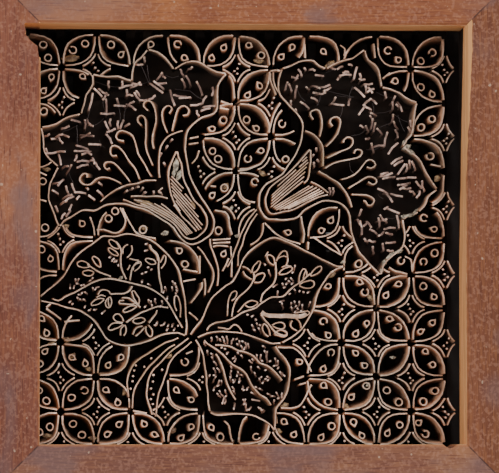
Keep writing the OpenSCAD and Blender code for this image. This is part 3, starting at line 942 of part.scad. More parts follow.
// Handle behind the stamp: two legs soldered to the middle crossbar and let into a round grip
module handle_leg(x) {
    color("sienna") stood() translate([x, 0, grip_z]) cylinder(h = crossbar_z - grip_z, r = leg_d / 2);
}

module handle_leg_left() { handle_leg(-leg_gap / 2); }
module handle_leg_right() { handle_leg(leg_gap / 2); }
module handle_grip() {
    color("burlywood") stood() difference() {
        translate([-grip_l / 2, 0, grip_z]) rotate([0, 90, 0]) cylinder(h = grip_l, r = grip_d / 2);
        for (side = [-1, 1]) translate([side * leg_gap / 2, 0, grip_z]) cylinder(h = grip_d, r = leg_d / 2);
    }
}

rail_top();
rail_bottom();
rail_left();
rail_right();
lining_board_top();
lining_board_bottom();
bead_top();
bead_bottom();
bead_left();
bead_right();
hanger_strap_left();
hanger_strap_right();
hanger_ring_left();
hanger_ring_right();
hanger_screws();
lattice_uprights();
lattice_crossbars();
flower_plate_left();
flower_plate_right();
leaf_plate_left();
leaf_plate_right();
fern_plate();
kawung_petals();
kawung_rings();
star_strips();
star_pins();
flower_rim_left();
flower_rim_right();
tulip_left();
tulip_right();
tulip_hatching();
stamens();
flower_pins();
stems();
leaf_rims();
leaf_branches();
leaflets();
leaf_pins();
fern_strips();
fern_pins();
narrow_leaves();
narrow_leaf_pins();
handle_leg_left();
handle_leg_right();
handle_grip();
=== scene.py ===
"""Batik stamp in its box frame: worn strips, finishes, light and camera."""

import logging
import math
import random
from dataclasses import dataclass
from enum import Enum

import bmesh
import bpy
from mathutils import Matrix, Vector
from mathutils.kdtree import KDTree


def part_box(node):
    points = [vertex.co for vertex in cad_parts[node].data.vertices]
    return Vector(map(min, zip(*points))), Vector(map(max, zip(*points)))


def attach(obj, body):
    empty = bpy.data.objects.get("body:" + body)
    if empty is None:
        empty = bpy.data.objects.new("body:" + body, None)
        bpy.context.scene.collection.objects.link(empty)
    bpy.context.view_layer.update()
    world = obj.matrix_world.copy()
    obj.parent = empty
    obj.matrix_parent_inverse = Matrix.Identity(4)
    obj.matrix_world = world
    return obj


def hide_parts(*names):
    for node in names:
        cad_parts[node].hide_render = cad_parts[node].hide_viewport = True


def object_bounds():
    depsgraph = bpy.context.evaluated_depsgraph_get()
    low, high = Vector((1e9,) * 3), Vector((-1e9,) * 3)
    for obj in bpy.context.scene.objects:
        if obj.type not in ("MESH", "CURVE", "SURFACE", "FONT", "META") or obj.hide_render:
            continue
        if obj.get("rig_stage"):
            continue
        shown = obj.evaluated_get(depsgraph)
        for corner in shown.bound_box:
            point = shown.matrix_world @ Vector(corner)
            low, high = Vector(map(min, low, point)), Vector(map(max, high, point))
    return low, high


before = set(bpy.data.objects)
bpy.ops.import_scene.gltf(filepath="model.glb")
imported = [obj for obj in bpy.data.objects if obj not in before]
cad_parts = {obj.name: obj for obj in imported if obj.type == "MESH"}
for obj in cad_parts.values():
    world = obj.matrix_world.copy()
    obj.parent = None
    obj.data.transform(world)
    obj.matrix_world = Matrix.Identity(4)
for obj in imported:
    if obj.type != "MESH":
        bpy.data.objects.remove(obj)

log = logging.getLogger("batik_stamp")
MM = 0.001
RGB = tuple[float, float, float]
Spot = tuple[float, float]


class Side(Enum):
    """A rail's place in the frame: grain axis, axis across it, and the sign of the way outwards."""

    TOP = ("X", "Z", 1)
    BOTTOM = ("X", "Z", -1)
    LEFT = ("Z", "X", -1)
    RIGHT = ("Z", "X", 1)


class Sock:
    """A shader socket that takes part in Python expressions."""

    def __init__(self, tree: "Tree", out: bpy.types.NodeSocket) -> None:
        """Wraps one output of a node.

        Args:
            tree: the tree that the socket belongs to.
            out: the output socket.
        """
        self.tree = tree
        self.out = out

    def _math(self, operation: str, a: object, b: object = 0.0) -> "Sock":
        """Adds one Math node for a and b."""
        return self.tree.add("ShaderNodeMath", {"operation": operation}, {0: a, 1: b})

    def __add__(self, other: object) -> "Sock":
        """Sum."""
        return self._math("ADD", self, other)

    def __radd__(self, other: object) -> "Sock":
        """Sum with a number in front."""
        return self._math("ADD", other, self)

    def __sub__(self, other: object) -> "Sock":
        """Difference."""
        return self._math("SUBTRACT", self, other)

    def __rsub__(self, other: object) -> "Sock":
        """Difference with a number in front."""
        return self._math("SUBTRACT", other, self)

    def __mul__(self, other: object) -> "Sock":
        """Product."""
        return self._math("MULTIPLY", self, other)

    def __rmul__(self, other: object) -> "Sock":
        """Product with a number in front."""
        return self._math("MULTIPLY", other, self)

    def __abs__(self) -> "Sock":
        """Size without sign."""
        return self._math("ABSOLUTE", self)

    def ramp(self, low: float, high: float) -> "Sock":
        """Rises smoothly from 0 at low to 1 at high.

        Args:
            low: the value where the result leaves 0.
            high: the value where the result reaches 1.

        Returns:
            The eased value.
        """
        settings = {"interpolation_type": "SMOOTHSTEP"}
        inputs = {"Value": self, "From Min": low, "From Max": high}
        return self.tree.add("ShaderNodeMapRange", settings, inputs)


class Tree:
    """A material's node tree around one Principled shader."""

    def __init__(self, name: str) -> None:
        """Makes the material.

        Args:
            name: the material's name.
        """
        self.material = bpy.data.materials.new(name)
        self.material.use_nodes = True
        self.nodes = self.material.node_tree.nodes
        self.links = self.material.node_tree.links
        self.shader = self.nodes["Principled BSDF"]
        self._coordinates: Sock | None = None

    def add(self, kind: str, settings: dict, inputs: dict, output: object = 0) -> Sock:
        """Adds a node, sets it up and links it.

        Args:
            kind: the node's type.
            settings: attributes to set first.
            inputs: value, or Sock to link, for each input socket.
            output: which output to hand back.

        Returns:
            The chosen output.
        """
        node = self.nodes.new(kind)
        for key, value in settings.items():
            setattr(node, key, value)
        for key, value in inputs.items():
            if isinstance(value, Sock):
                self.links.new(value.out, node.inputs[key])
            else:
                node.inputs[key].default_value = value
        return Sock(self, node.outputs[output])

    def place(self) -> Sock:
        """The point's own coordinates on the object, in metres."""
        if self._coordinates is None:
            self._coordinates = self.add("ShaderNodeTexCoord", {}, {}, "Object")
        return self._coordinates

    def axis(self, name: str) -> Sock:
        """One of the coordinates X, Y or Z, in millimetres."""
        return self.add("ShaderNodeSeparateXYZ", {}, {0: self.place()}, name) * 1000.0

    def stretched(self, scale: RGB, offset: RGB = (0, 0, 0)) -> Sock:
        """The coordinates with each axis scaled."""
        return self.add("ShaderNodeMapping", {}, {"Vector": self.place(), "Scale": scale, "Location": offset})

    def noise(self, scale: float, detail: float = 3, vector: Sock | None = None, warp: float = 0) -> Sock:
        """Cloudy noise.

        Args:
            scale: spots per metre.
            detail: octaves.
            vector: coordinates in place of the object's own.
            warp: how far the noise is pulled about.

        Returns:
            A value about 0.5.
        """
        where = vector or self.place()
        inputs = {"Vector": where, "Scale": scale, "Detail": detail, "Distortion": warp}
        return self.add("ShaderNodeTexNoise", {}, inputs, "Fac")

    def near(self, spot: RGB, radius: float) -> Sock:
        """1 at a point of the part, fading to 0 at a radius, both in millimetres."""
        inputs = {0: self.place(), 1: tuple(c * MM for c in spot)}
        away = self.add("ShaderNodeVectorMath", {"operation": "DISTANCE"}, inputs, "Value")
        return 1.0 - away.ramp(0.3 * radius * MM, radius * MM)

    def mix(self, factor: Sock | float, a: Sock | RGB, b: Sock | RGB) -> Sock:
        """Blends colour a into colour b."""
        full = [(*c, 1.0) if isinstance(c, tuple) else c for c in (a, b)]
        inputs = {"Factor": factor, 6: full[0], 7: full[1]}
        return self.add("ShaderNodeMix", {"data_type": "RGBA"}, inputs, 2)

    def bump(self, height: Sock, depth_mm: float) -> None:
        """Turns a height of 0 to 1 into relief.

        Args:
            height: the height map.
            depth_mm: depth of the relief in millimetres.
        """
        inputs = {"Height": height, "Distance": depth_mm * MM, "Strength": 1.0}
        self.feed("Normal", self.add("ShaderNodeBump", {}, inputs, "Normal"))

    def feed(self, socket: str, value: Sock | float | RGB) -> None:
        """Gives the shader a constant or a link."""
        target = self.shader.inputs[socket]
        if isinstance(value, Sock):
            self.links.new(value.out, target)
        elif isinstance(value, tuple):
            target.default_value = (*value, 1.0)
        else:
            target.default_value = value


@dataclass(frozen=True)
class Mahogany:
    """Waxed reddish wood of one rail, with its raw inner wall.

    Attributes:
        node: the rail.
        side: where the rail is in the frame.
        warmth: how orange the rail is, from 0 to 1.
        smear: how much of it is greyed, from 0 to 1.
        raw_depth: how far down the inner wall the bare wood shows at mid length, in millimetres.
        raw_slope: how much that changes for each millimetre along the rail.
        chipped: width of bare wood on the front at the rail's far end, in millimetres.
        tone: factors on the waxed wood's colours.
        smudges: x, z and radius of each greyed patch, in millimetres.
        bare: the same of each split spot, and how far behind the front it begins.
    """

    node: str
    side: Side
    warmth: float
    smear: float
    raw_depth: float
    raw_slope: float = 0.0
    chipped: float = 0.0
    tone: RGB = (1.0, 1.0, 1.0)
    smudges: tuple[tuple[float, float, float], ...] = ()
    bare: tuple[tuple[float, float, float, float], ...] = ()
    mid: RGB = (0.225, 0.079, 0.039)
    dark: RGB = (0.115, 0.034, 0.018)
    orange: RGB = (0.36, 0.135, 0.05)
    grey: RGB = (0.14, 0.088, 0.088)
    raw: RGB = (0.92, 0.5, 0.23)

    def build(self) -> bpy.types.Material:
        """Makes the material.

        Returns:
            The finished material.
        """
        tree = Tree(f"mahogany_{self.side.name.lower()}")
        along, across, sign = self.side.value
        rail_low, rail_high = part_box(self.node)
        cross = 0 if across == "X" else 2
        inner = (rail_low[cross] if sign > 0 else rail_high[cross]) * 1000.0
        inset = (tree.axis(across) - inner) * sign
        depth = tree.axis("Y") - rail_low[1] * 1000.0

        def grained(lengthwise: float, crosswise: float) -> Sock:
            """Coordinates stretched along the grain."""
            scale = (lengthwise, crosswise, crosswise) if along == "X" else (crosswise, crosswise, lengthwise)
            return tree.stretched(scale)

        mid, dark, orange = (
            tuple(c * t for c, t in zip(colour, self.tone)) for colour in (self.mid, self.dark, self.orange))
        figure = tree.noise(1.0, 4, grained(9.0, 75.0), 0.5)
        streaks = tree.noise(1.0, 3, grained(150.0, 1300.0))
        pores = tree.noise(1.0, 2, grained(90.0, 1900.0))
        cloud = tree.noise(16.0, 4, warp=0.6)
        base = tree.mix(0.45 + figure.ramp(0.3, 0.75) * 0.55, dark, mid)
        base = tree.mix(cloud.ramp(0.66 - 0.4 * self.warmth, 0.86 - 0.3 * self.warmth), base, orange)
        base = tree.mix(streaks.ramp(0.42, 0.72) * 0.4, base, orange)
        base = tree.mix(pores.ramp(0.54, 0.68) * 0.7, base, dark)
        base = tree.mix(tree.noise(640.0, 2).ramp(0.5, 0.62) * 0.2, base, (0.45, 0.24, 0.17))
        smears = tree.noise(1.0, 4, grained(17.0, 40.0), 0.8).ramp(0.62 - 0.2 * self.smear, 0.76 - 0.16 * self.smear)
        base = tree.mix(smears * 0.55, base, self.grey)
        for x, z, radius in self.smudges:
            smudge = tree.near((x, rail_low[1] * 1000.0, z), radius) * cloud.ramp(0.3, 0.6)
            base = tree.mix(smudge * 0.42, base, self.grey)
        specks = tree.noise(330.0, 1).ramp(0.76, 0.79)
        base = tree.mix(specks * 0.5, base, (0.5, 0.36, 0.26))
        front_wood = self.joints(tree, base, tree.noise(260.0, 2))
        worn = 1.0 - (inset + (tree.noise(120.0, 3) - 0.5) * 2.2).ramp(0.1, 1.5)
        front_wood = tree.mix(worn * 0.6, front_wood, (0.4, 0.15, 0.06))
        # Painted highlight: a pale hairline along the front's inner edge, where the rounded arris catches the light.
        edge_highlight = 1.0 - (inset + (tree.noise(300.0, 2) - 0.5) * 0.7).ramp(0.0, 0.3)
        front_wood = tree.mix(edge_highlight * 0.5, front_wood, (0.6, 0.38, 0.22))

        fibre = tree.noise(1.0, 4, grained(30.0, 700.0))
        bare = tree.mix(fibre.ramp(0.35, 0.7), (0.62, 0.31, 0.13), self.raw)
        ragged = (tree.noise(1.0, 3, grained(40.0, 60.0)) - 0.5) * 8.0
        run = tree.axis(along) - (rail_low[0 if along == "X" else 2] + rail_high[0 if along == "X" else 2]) * 500.0
        black = (depth + ragged - run * self.raw_slope - self.raw_depth).ramp(0.0, 2.0)
        bare = tree.mix(black, bare, (0.012, 0.009, 0.008))
        stained = 1.0 - (depth + (tree.noise(90.0, 3) - 0.5) * 5.0).ramp(0.2, 1.4)
        bare = tree.mix(stained * 0.6, bare, self.dark)
        for x, z, radius, start in self.bare:
            split = tree.near((x, rail_low[1] * 1000.0 + 2.0, z), radius) * depth.ramp(start, start + 0.4)
            front_wood = tree.mix(split, front_wood, bare if start > 0 else (0.8, 0.36, 0.14))
        wall = (1.0 - (abs(inset)).ramp(0.02, 0.08)) * depth.ramp(0.05, 0.12)
        if self.chipped:
            chip = run.ramp(10.0, 105.0) * self.chipped + (tree.noise(140.0, 3) - 0.5) * 1.6 - inset
            front_wood = tree.mix(chip.ramp(0.0, 0.25) * run.ramp(8.0, 30.0), front_wood, (0.5, 0.24, 0.095))
        tree.feed("Base Color", tree.mix(wall, front_wood, bare))
        tree.feed("Roughness", 0.5 + pores.ramp(0.5, 0.75) * 0.2)
        tree.feed("Specular IOR Level", 0.12)
        tree.feed("Coat Weight", 0.02)
        tree.feed("Coat Roughness", 0.35)
        tree.bump(pores.ramp(0.5, 0.75) * -0.6 + figure * 0.3 + streaks * 0.3, 0.08)
        return tree.material

    @staticmethod
    def joints(tree: Tree, base: Sock, fray: Sock) -> Sock:
        """Draws the dark mitre lines.

        Args:
            tree: the rail's tree.
            base: the wood's colour.
            fray: noise that breaks the lines up.

        Returns:
            The colour with the lines.
        """
        low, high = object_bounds()
        half, top, bottom = high[0] * 1000.0, high[2] * 1000.0, low[2] * 1000.0
        from_side = half - abs(tree.axis("X"))
        height = tree.axis("Z")
        for from_end in (top - height, height - bottom):
            line = 1.0 - abs(from_side - from_end).ramp(0.12, 0.75)
            base = tree.mix(line * fray.ramp(0.3, 0.55) * 0.8, base, (0.035, 0.02, 0.02))
        return base


@dataclass(frozen=True)
class BlackPaint:
    """Matt black paint on board."""

    def build(self) -> bpy.types.Material:
        """Makes the material."""
        tree = Tree("black_paint")
        cloud = tree.noise(40.0, 4)
        tree.feed("Base Color", tree.mix(cloud.ramp(0.4, 0.7), (0.05, 0.04, 0.036), (0.09, 0.072, 0.064)))
        tree.feed("Roughness", 0.62 + cloud * 0.25)
        tree.bump(tree.noise(700.0, 3), 0.05)
        return tree.material


@dataclass(frozen=True)
class Copper:
    """Tarnished copper, worn bright on the printing edge, with wax and green patina, painted light and shade on its
    sides and painted glints on its edge.

    Attributes:
        name: the material's name.
        rubbed_and_glint: colour of the worn printing edge.
        wall: colour of a strip's side just below it, painted as lit.
        dull: the same where it is tarnished.
        deep: colour in the shade of the strips.
        glow: how far down the wall its painted lit colour reaches before it fades into the painted shade of deep, in
            millimetres.
        wax: how much wax clings to it, from 0 to 1.
    """

    name: str
    rubbed_and_glint: RGB = (0.74, 0.5, 0.37)
    wall: RGB = (0.8, 0.45, 0.27)
    dull: RGB = (0.45, 0.26, 0.16)
    deep: RGB = (0.11, 0.065, 0.048)
    glow: float = 16.0
    wax: float = 0.6

    def build(self) -> bpy.types.Material:
        """Makes the material.

        Returns:
            The finished material.
        """
        tree = Tree(self.name)
        low, _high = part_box("kawung_petals")
        depth = tree.axis("Y") - low[1] * 1000.0
        cloud = tree.noise(55.0, 4, warp=0.4)
        fine = tree.noise(420.0, 4)
        broad = tree.noise(14.0, 2)
        # Painted shade: a strip's sides fade from the lit wall colour into deep the further back they go from the
        # printing face.
        shade = (depth + (cloud - 0.5) * 9.0).ramp(-3.0, self.glow)
        side = tree.mix((cloud * 0.7 + fine * 0.3).ramp(0.42, 0.6), self.wall, self.dull)
        base = tree.mix(shade, side, self.deep)
        patina = (broad * 0.5 + fine * 0.5).ramp(0.52, 0.62)
        base = tree.mix(patina * (1.0 - shade) * 0.6, base, (0.15, 0.15, 0.11))
        edge = 1.0 - (depth + (fine - 0.5) * 0.3).ramp(0.24, 0.4)
        rubbed_and_glint = tree.mix(cloud.ramp(0.4, 0.62) * 0.8, self.rubbed_and_glint, (0.4, 0.25, 0.165))
        # Painted highlight: pale glints speckled over the worn edge's own colour.
        rubbed_and_glint = tree.mix(fine.ramp(0.54, 0.68) * 0.6, rubbed_and_glint, (0.98, 0.76, 0.62))
        rubbed_and_glint = tree.mix(broad.ramp(0.5, 0.66) * 0.5, rubbed_and_glint, (0.42, 0.37, 0.3))
        base = tree.mix(edge, base, rubbed_and_glint)
        wax = tree.noise(34.0, 3, warp=0.8).ramp(0.64, 0.7) * self.wax * (1.0 - depth.ramp(1.0, 5.0))
        base = tree.mix(wax, base, (0.32, 0.2, 0.09))
        tree.feed("Base Color", base)
        tree.feed("Metallic", (1.0 - wax) * (0.15 + edge * 0.35))
        tree.feed("Roughness", 0.68 - edge * 0.22 + fine * 0.12)
        tree.bump(fine * 0.5 + cloud * 0.5, 0.14)
        return tree.material


@dataclass(frozen=True)
class DarkCopper:
    """Copper behind the printing face, blackened by wax and dye, and painted near-black at the front as the shade deep
    among the strips.
    """

    def build(self) -> bpy.types.Material:
        """Makes the material."""
        tree = Tree("dark_copper")
        cloud = tree.noise(60.0, 4, warp=0.5)
        # Near-black: wax-blackened copper, darkened further as painted shade.
        base = tree.mix(cloud.ramp(0.4, 0.75), (0.014, 0.01, 0.0085), (0.034, 0.023, 0.018))
        # Further back, beyond that painted shade, plain copper shows.
        back = (tree.axis("Y") - 2.0).ramp(0.0, 12.0)
        base = tree.mix(back * cloud.ramp(0.4, 0.6), base, (0.16, 0.085, 0.05))
        tree.feed("Base Color", base)
        tree.feed("Metallic", back * 0.6)
        tree.feed("Roughness", 0.72 + cloud * 0.2)
        tree.feed("Specular IOR Level", 0.1)
        tree.bump(tree.noise(300.0, 4), 0.1)
        return tree.material


@dataclass(frozen=True)
class CutCopper:
    """Cut end of a wire, bright and scratched, its pale colour partly a painted highlight."""

    def build(self) -> bpy.types.Material:
        """Makes the material."""
        tree = Tree("cut_copper")
        fine = tree.noise(800.0, 3)
        # Pale pink: bright cut metal, made paler still as a painted highlight on the tip.
        tree.feed("Base Color", tree.mix(fine.ramp(0.4, 0.65), (0.86, 0.68, 0.6), (0.55, 0.36, 0.28)))
        tree.feed("Metallic", 0.3)
        tree.feed("Roughness", 0.35 + fine * 0.2)
        return tree.material


@dataclass(frozen=True)
class Film:
    """Wax or solder: a mottled film, with painted shade where it sits deep.

    Attributes:
        name: the material's name.
        pale: colour of the thick spots.
        brown: colour of the thin spots.
    """

    name: str
    pale: RGB
    brown: RGB

    def build(self) -> bpy.types.Material:
        """Makes the material."""
        tree = Tree(self.name)
        cloud = tree.noise(620.0, 3, warp=0.8)
        depth = tree.axis("Y") + 19.6
        base = tree.mix(cloud.ramp(0.36, 0.62), self.pale, self.brown)
        # Painted shade: the film darkens the deeper it sits behind the printing face.
        base = tree.mix(depth.ramp(0.8, 5.0), base, tuple(c * 0.25 for c in self.brown))
        tree.feed("Base Color", base)
        tree.feed("Roughness", 0.42 + cloud * 0.3)
        tree.bump(tree.noise(900.0, 3), 0.15)
        return tree.material


@dataclass(frozen=True)
class PlainMetal:
    """Plain turned or drawn metal with fine scratches."""

    name: str
    colour: RGB
    roughness: float = 0.32

    def build(self) -> bpy.types.Material:
        """Makes the material."""
        tree = Tree(self.name)
        fine = tree.noise(900.0, 3)
        cloud = tree.noise(120.0, 3)
        dull = tuple(c * 0.55 for c in self.colour)
        tree.feed("Base Color", tree.mix(cloud.ramp(0.4, 0.75) * 0.7, self.colour, dull))
        tree.feed("Metallic", 1.0)
        tree.feed("Roughness", self.roughness + cloud * 0.2)
        tree.bump(fine, 0.02)
        return tree.material


@dataclass(frozen=True)
class HandWornWood:
    """Grip wood, darkened and polished by hands."""

    def build(self) -> bpy.types.Material:
        """Makes the material."""
        tree = Tree("grip_wood")
        figure = tree.noise(1.0, 5, tree.stretched((12.0, 260.0, 260.0)), 0.5)
        base = tree.mix(figure.ramp(0.35, 0.7), (0.34, 0.19, 0.085), (0.12, 0.06, 0.03))
        tree.feed("Base Color", base)
        tree.feed("Roughness", 0.38 + figure * 0.2)
        tree.bump(figure, 0.08)
        return tree.material


def paint(nodes: tuple[str, ...], material: bpy.types.Material) -> None:
    """Gives CAD nodes a finish.

    Args:
        nodes: the nodes' names.
        material: the finish.
    """
    for name in nodes:
        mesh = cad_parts[name].data
        mesh.materials.clear()
        mesh.materials.append(material)
        log.info("%s wears %s", name, material.name)


def hold(thing: bpy.types.Object) -> None:
    """Selects one object alone and makes it active."""
    bpy.ops.object.select_all(action="DESELECT")
    thing.select_set(True)
    bpy.context.view_layer.objects.active = thing


@dataclass
class BoxFrame:
    """The mitred frame, its black boards and beads."""

    rails: tuple[Mahogany, ...] = (
        Mahogany("rail_top", Side.TOP, 0.5, 0.3, 27.0, -0.02, smudges=(
            (-94, 246, 24), (-70, 258, 30), (-118, 252, 20), (112, 250, 16), (20, 262, 14))),
        Mahogany("rail_bottom", Side.BOTTOM, 0.3, 0.6, 22.0, tone=(0.83, 1.0, 1.36), smudges=(
            (15, 24, 12), (32, 25, 9), (-70, 14, 26), (-20, 9, 18), (108, 16, 15))),
        Mahogany("rail_left", Side.LEFT, 0.35, 0.3, 22.0, tone=(0.79, 0.8, 1.05), smudges=(
            (-114, 152, 8), (-112, 103, 9), (-122, 60, 14)), bare=(
            (-106, 239, 30, 0.3), (-105.6, 229.5, 4.4, -1))),
        Mahogany("rail_right", Side.RIGHT, 0.1, 0.15, 27.0, -0.17, 3.4, tone=(0.77, 0.81, 0.87), smudges=(
            (120, 58, 12), (124, 84, 9), (112, 226, 10))))
    black: tuple[str, ...] = (
        "lining_board_top", "lining_board_bottom", "bead_top", "bead_bottom", "bead_left", "bead_right")

    def dress(self) -> None:
        """Paints the wood."""
        for rail in self.rails:
            paint((rail.node,), rail.build())
        paint(self.black, BlackPaint().build())


@dataclass
class WornCopper:
    """Copies of strips or pins, soldered a little askew and worn along their tops.

    Attributes:
        nodes: the nodes that the copies stand for.
        finish: the copies' finish.
        slot: name of a material slot; not used.
        lean: how far the feet stray, in millimetres.
        lean_size: size of a patch whose feet stray alike, in millimetres.
        wobble: how far the strips stray from their drawn curves, in millimetres.
        tilt: a node whose left half leans, and how far its feet go right and up, in millimetres.
        worn_edge: width of the worn edge, in millimetres.
        thinned: how much each side has lost to wear and acid, in millimetres.
    """

    nodes: tuple[str, ...]
    finish: Copper
    slot: str
    lean: float = 5.0
    lean_size: float = 25.0
    wobble: float = 1.1
    tilt: tuple[str, float, float] = ("", 0.0, 0.0)
    worn_edge: float = 0.16
    thinned: float = 0.17

    def build(self) -> None:
        """Makes, bends and paints every copy."""
        for node in self.nodes:
            copy = self.copied(node)
            self.thin(copy)
            self.wear_edges(copy)
            if node == "kawung_petals":
                self.flare(copy)
            self.dress(copy, node)

    def dress(self, piece: bpy.types.Object, node: str) -> None:
        """Bends and paints a piece.

        Args:
            piece: the finished mesh.
            node: the node that it stands for.
        """
        self.bend(piece)
        hold(piece)
        bpy.ops.object.shade_smooth_by_angle(angle=0.6)
        piece.data.materials.clear()
        piece.data.materials.append(bpy.data.materials.get(self.finish.name) or self.finish.build())
        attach(piece, "display")
        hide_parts(node)
        log.info("%s: %d faces", piece.name, len(piece.data.polygons))

    @staticmethod
    def copied(node: str) -> bpy.types.Object:
        """Copies a node and merges its loose triangles into strips.

        Args:
            node: the node's name.

        Returns:
            The copy, free of the node's marks.
        """
        hold(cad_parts[node])
        bpy.ops.object.duplicate()
        copy = bpy.context.object
        copy.parent = None
        for mark in [key for key in copy.keys() if key.startswith("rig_")]:
            del copy[mark]
        copy.name = f"worn_{node}"
        bpy.ops.object.mode_set(mode="EDIT")
        bpy.ops.mesh.select_all(action="SELECT")
        bpy.ops.mesh.remove_doubles(threshold=0.01 * MM)
        bpy.ops.mesh.tris_convert_to_quads(face_threshold=0.02, shape_threshold=2.0)
        bpy.ops.object.mode_set(mode="OBJECT")
        return copy

    def thin(self, copy: bpy.types.Object) -> None:
        """Takes the wear off both sides of the metal."""
        hold(copy)
        modifier = copy.modifiers.new("thin", "DISPLACE")
        modifier.direction = "NORMAL"
        modifier.mid_level = 0.0
        modifier.strength = -self.thinned * MM * (0.5 if "hatching" in copy.name else 1.0)
        bpy.ops.object.modifier_apply(modifier="thin")

    def wear_edges(self, copy: bpy.types.Object) -> None:
        """Bevels the edges of the printing face."""
        front = min(vertex.co.y for vertex in copy.data.vertices) + 0.08 * MM
        hold(copy)
        bpy.ops.object.mode_set(mode="EDIT")
        bpy.ops.mesh.select_all(action="DESELECT")
        bpy.ops.mesh.select_mode(type="EDGE")
        shape = bmesh.from_edit_mesh(copy.data)
        for edge in shape.edges:
            on_face = all(vertex.co.y < front for vertex in edge.verts)
            if on_face and len(edge.link_faces) == 2 and edge.calc_face_angle() > 0.5:
                edge.select = True
        shape.select_flush_mode()
        bmesh.update_edit_mesh(copy.data)
        bpy.ops.mesh.bevel(offset=self.worn_edge * MM, segments=1, affect="EDGES", clamp_overlap=True)
        bpy.ops.object.mode_set(mode="OBJECT")

    @staticmethod
    def flare(copy: bpy.types.Object) -> None:
        """Leans each side of a petal, so that the petals open towards the printing face."""
        luck = random.Random(11)
        hold(copy)
        bpy.ops.object.mode_set(mode="EDIT")
        bpy.ops.mesh.select_mode(type="VERT")
        shape = bmesh.from_edit_mesh(copy.data)
        back = max(vertex.co.y for vertex in shape.verts) - 1.0 * MM
        unseen = set(shape.verts)
        while unseen:
            strip, edge_of_strip = [], [unseen.pop()]
            while edge_of_strip:
                vertex = edge_of_strip.pop()
                strip.append(vertex)
                for edge in vertex.link_edges:
                    other = edge.other_vert(vertex)
                    if other in unseen:
                        unseen.remove(other)
                        edge_of_strip.append(other)
            feet = [vertex for vertex in strip if vertex.co.y > back]
            if len(feet) < 4:
                continue
            middle = sum((vertex.co for vertex in feet), Vector()) / len(feet)
            first = max(feet, key=lambda vertex: (vertex.co - middle).length)
            last = max(feet, key=lambda vertex: (vertex.co - first.co).length)
            inwards = (first.co + last.co) / 2 - middle
            inwards.y = 0
            if inwards.length > 0.15 * MM:
                inwards.normalize()
                push = inwards * luck.uniform(0.4, 3.0) * MM
                bpy.ops.mesh.select_all(action="DESELECT")
                for vertex in feet:
                    vertex.select = True
                bpy.ops.transform.translate(value=push)
        bpy.ops.object.mode_set(mode="OBJECT")

    def bend(self, copy: bpy.types.Object) -> None:
        """Lets the feet stray from the tops, and the whole strip from its curve."""
        ys = [vertex.co.y for vertex in copy.data.vertices]
        front, back = min(ys), max(ys)
        foot = copy.vertex_groups.new(name="foot")
        for vertex in copy.data.vertices:
            foot.add([vertex.index], (vertex.co.y - front) / (back - front), "REPLACE")
        if copy.name.endswith(self.tilt[0]) and self.tilt[0]:
            left = copy.vertex_groups.new(name="left")
            for vertex in copy.data.vertices:
                if vertex.co.x < 0:
                    left.add([vertex.index], (vertex.co.y - front) / (back - front), "REPLACE")
            for way, reach in (("X", self.tilt[1]), ("Z", self.tilt[2])):
                self.stray(copy, way, reach, 0.0, "left")
        self.stray(copy, "X", self.lean, self.lean_size, "foot")
        self.stray(copy, "Z", self.lean, self.lean_size * 1.3, "foot")
        self.stray(copy, "X", self.wobble, 9.0, "")
        self.stray(copy, "Z", self.wobble, 7.0, "")

    @staticmethod
    def stray(copy: bpy.types.Object, way: str, reach: float, size: float, group: str) -> None:
        """Pushes a mesh about by soft noise.

        Args:
            copy: the mesh object.
            way: axis to push along.
            reach: the whole range of the push, in millimetres.
            size: size of a bump, in millimetres, or 0 for an even push.
            group: vertex group that weighs the push, or nothing.
        """
        hold(copy)
        modifier = copy.modifiers.new("stray", "DISPLACE")
        if size:
            noise = bpy.data.textures.new("stray", "CLOUDS")
            noise.noise_scale = size * MM
            noise.noise_depth = 1
            modifier.texture = noise
        modifier.texture_coords = "LOCAL"
        modifier.direction = way
        modifier.strength = reach * MM
        modifier.mid_level = 0.5 if size else 0.0
        modifier.vertex_group = group
        bpy.ops.object.modifier_apply(modifier="stray")


def on_stamp(spot: Spot, depth: float) -> Vector:
    """Turns a spot of the printing face into a point of the part.

    Args:
        spot: millimetres right of and above the stamp's middle, on square cells.
        depth: millimetres behind the printing face.

    Returns:
        The point in metres.
    """
    return Vector((spot[0] - 6.6, depth - 19.6, 0.98 * spot[1] + 133.0)) * MM


def wire_mesh(name: str, runs: list[list[Vector]], radius: float, sides: int) -> bpy.types.Object:
    """Draws round wires along runs of points.

    Args:
        name: the piece's name.
        runs: the points of each wire.
        radius: radius of the wire in millimetres.
        sides: 0 for a square section, 1 for six sides.

    Returns:
        One mesh with all the wires.
    """
    curve = bpy.data.curves.new(name, "CURVE")
    curve.dimensions = "3D"
    curve.bevel_depth = radius * MM
    curve.bevel_resolution = sides
    curve.use_fill_caps = True
    for run in runs:
        spline = curve.splines.new("POLY")
        spline.points.add(len(run) - 1)
        for point, place in zip(spline.points, run):
            point.co = (*place, 1.0)
    piece = bpy.data.objects.new(name, curve)
    bpy.context.collection.objects.link(piece)
    hold(piece)
    bpy.ops.object.convert(target="MESH")
    piece = bpy.context.object
    bpy.ops.object.mode_set(mode="EDIT")
    bpy.ops.mesh.select_all(action="SELECT")
    bpy.ops.mesh.remove_doubles(threshold=0.005 * MM)
    bpy.ops.mesh.normals_make_consistent(inside=False)
    bpy.ops.object.mode_set(mode="OBJECT")
    bpy.ops.object.shade_smooth_by_angle(angle=1.0)
    return piece


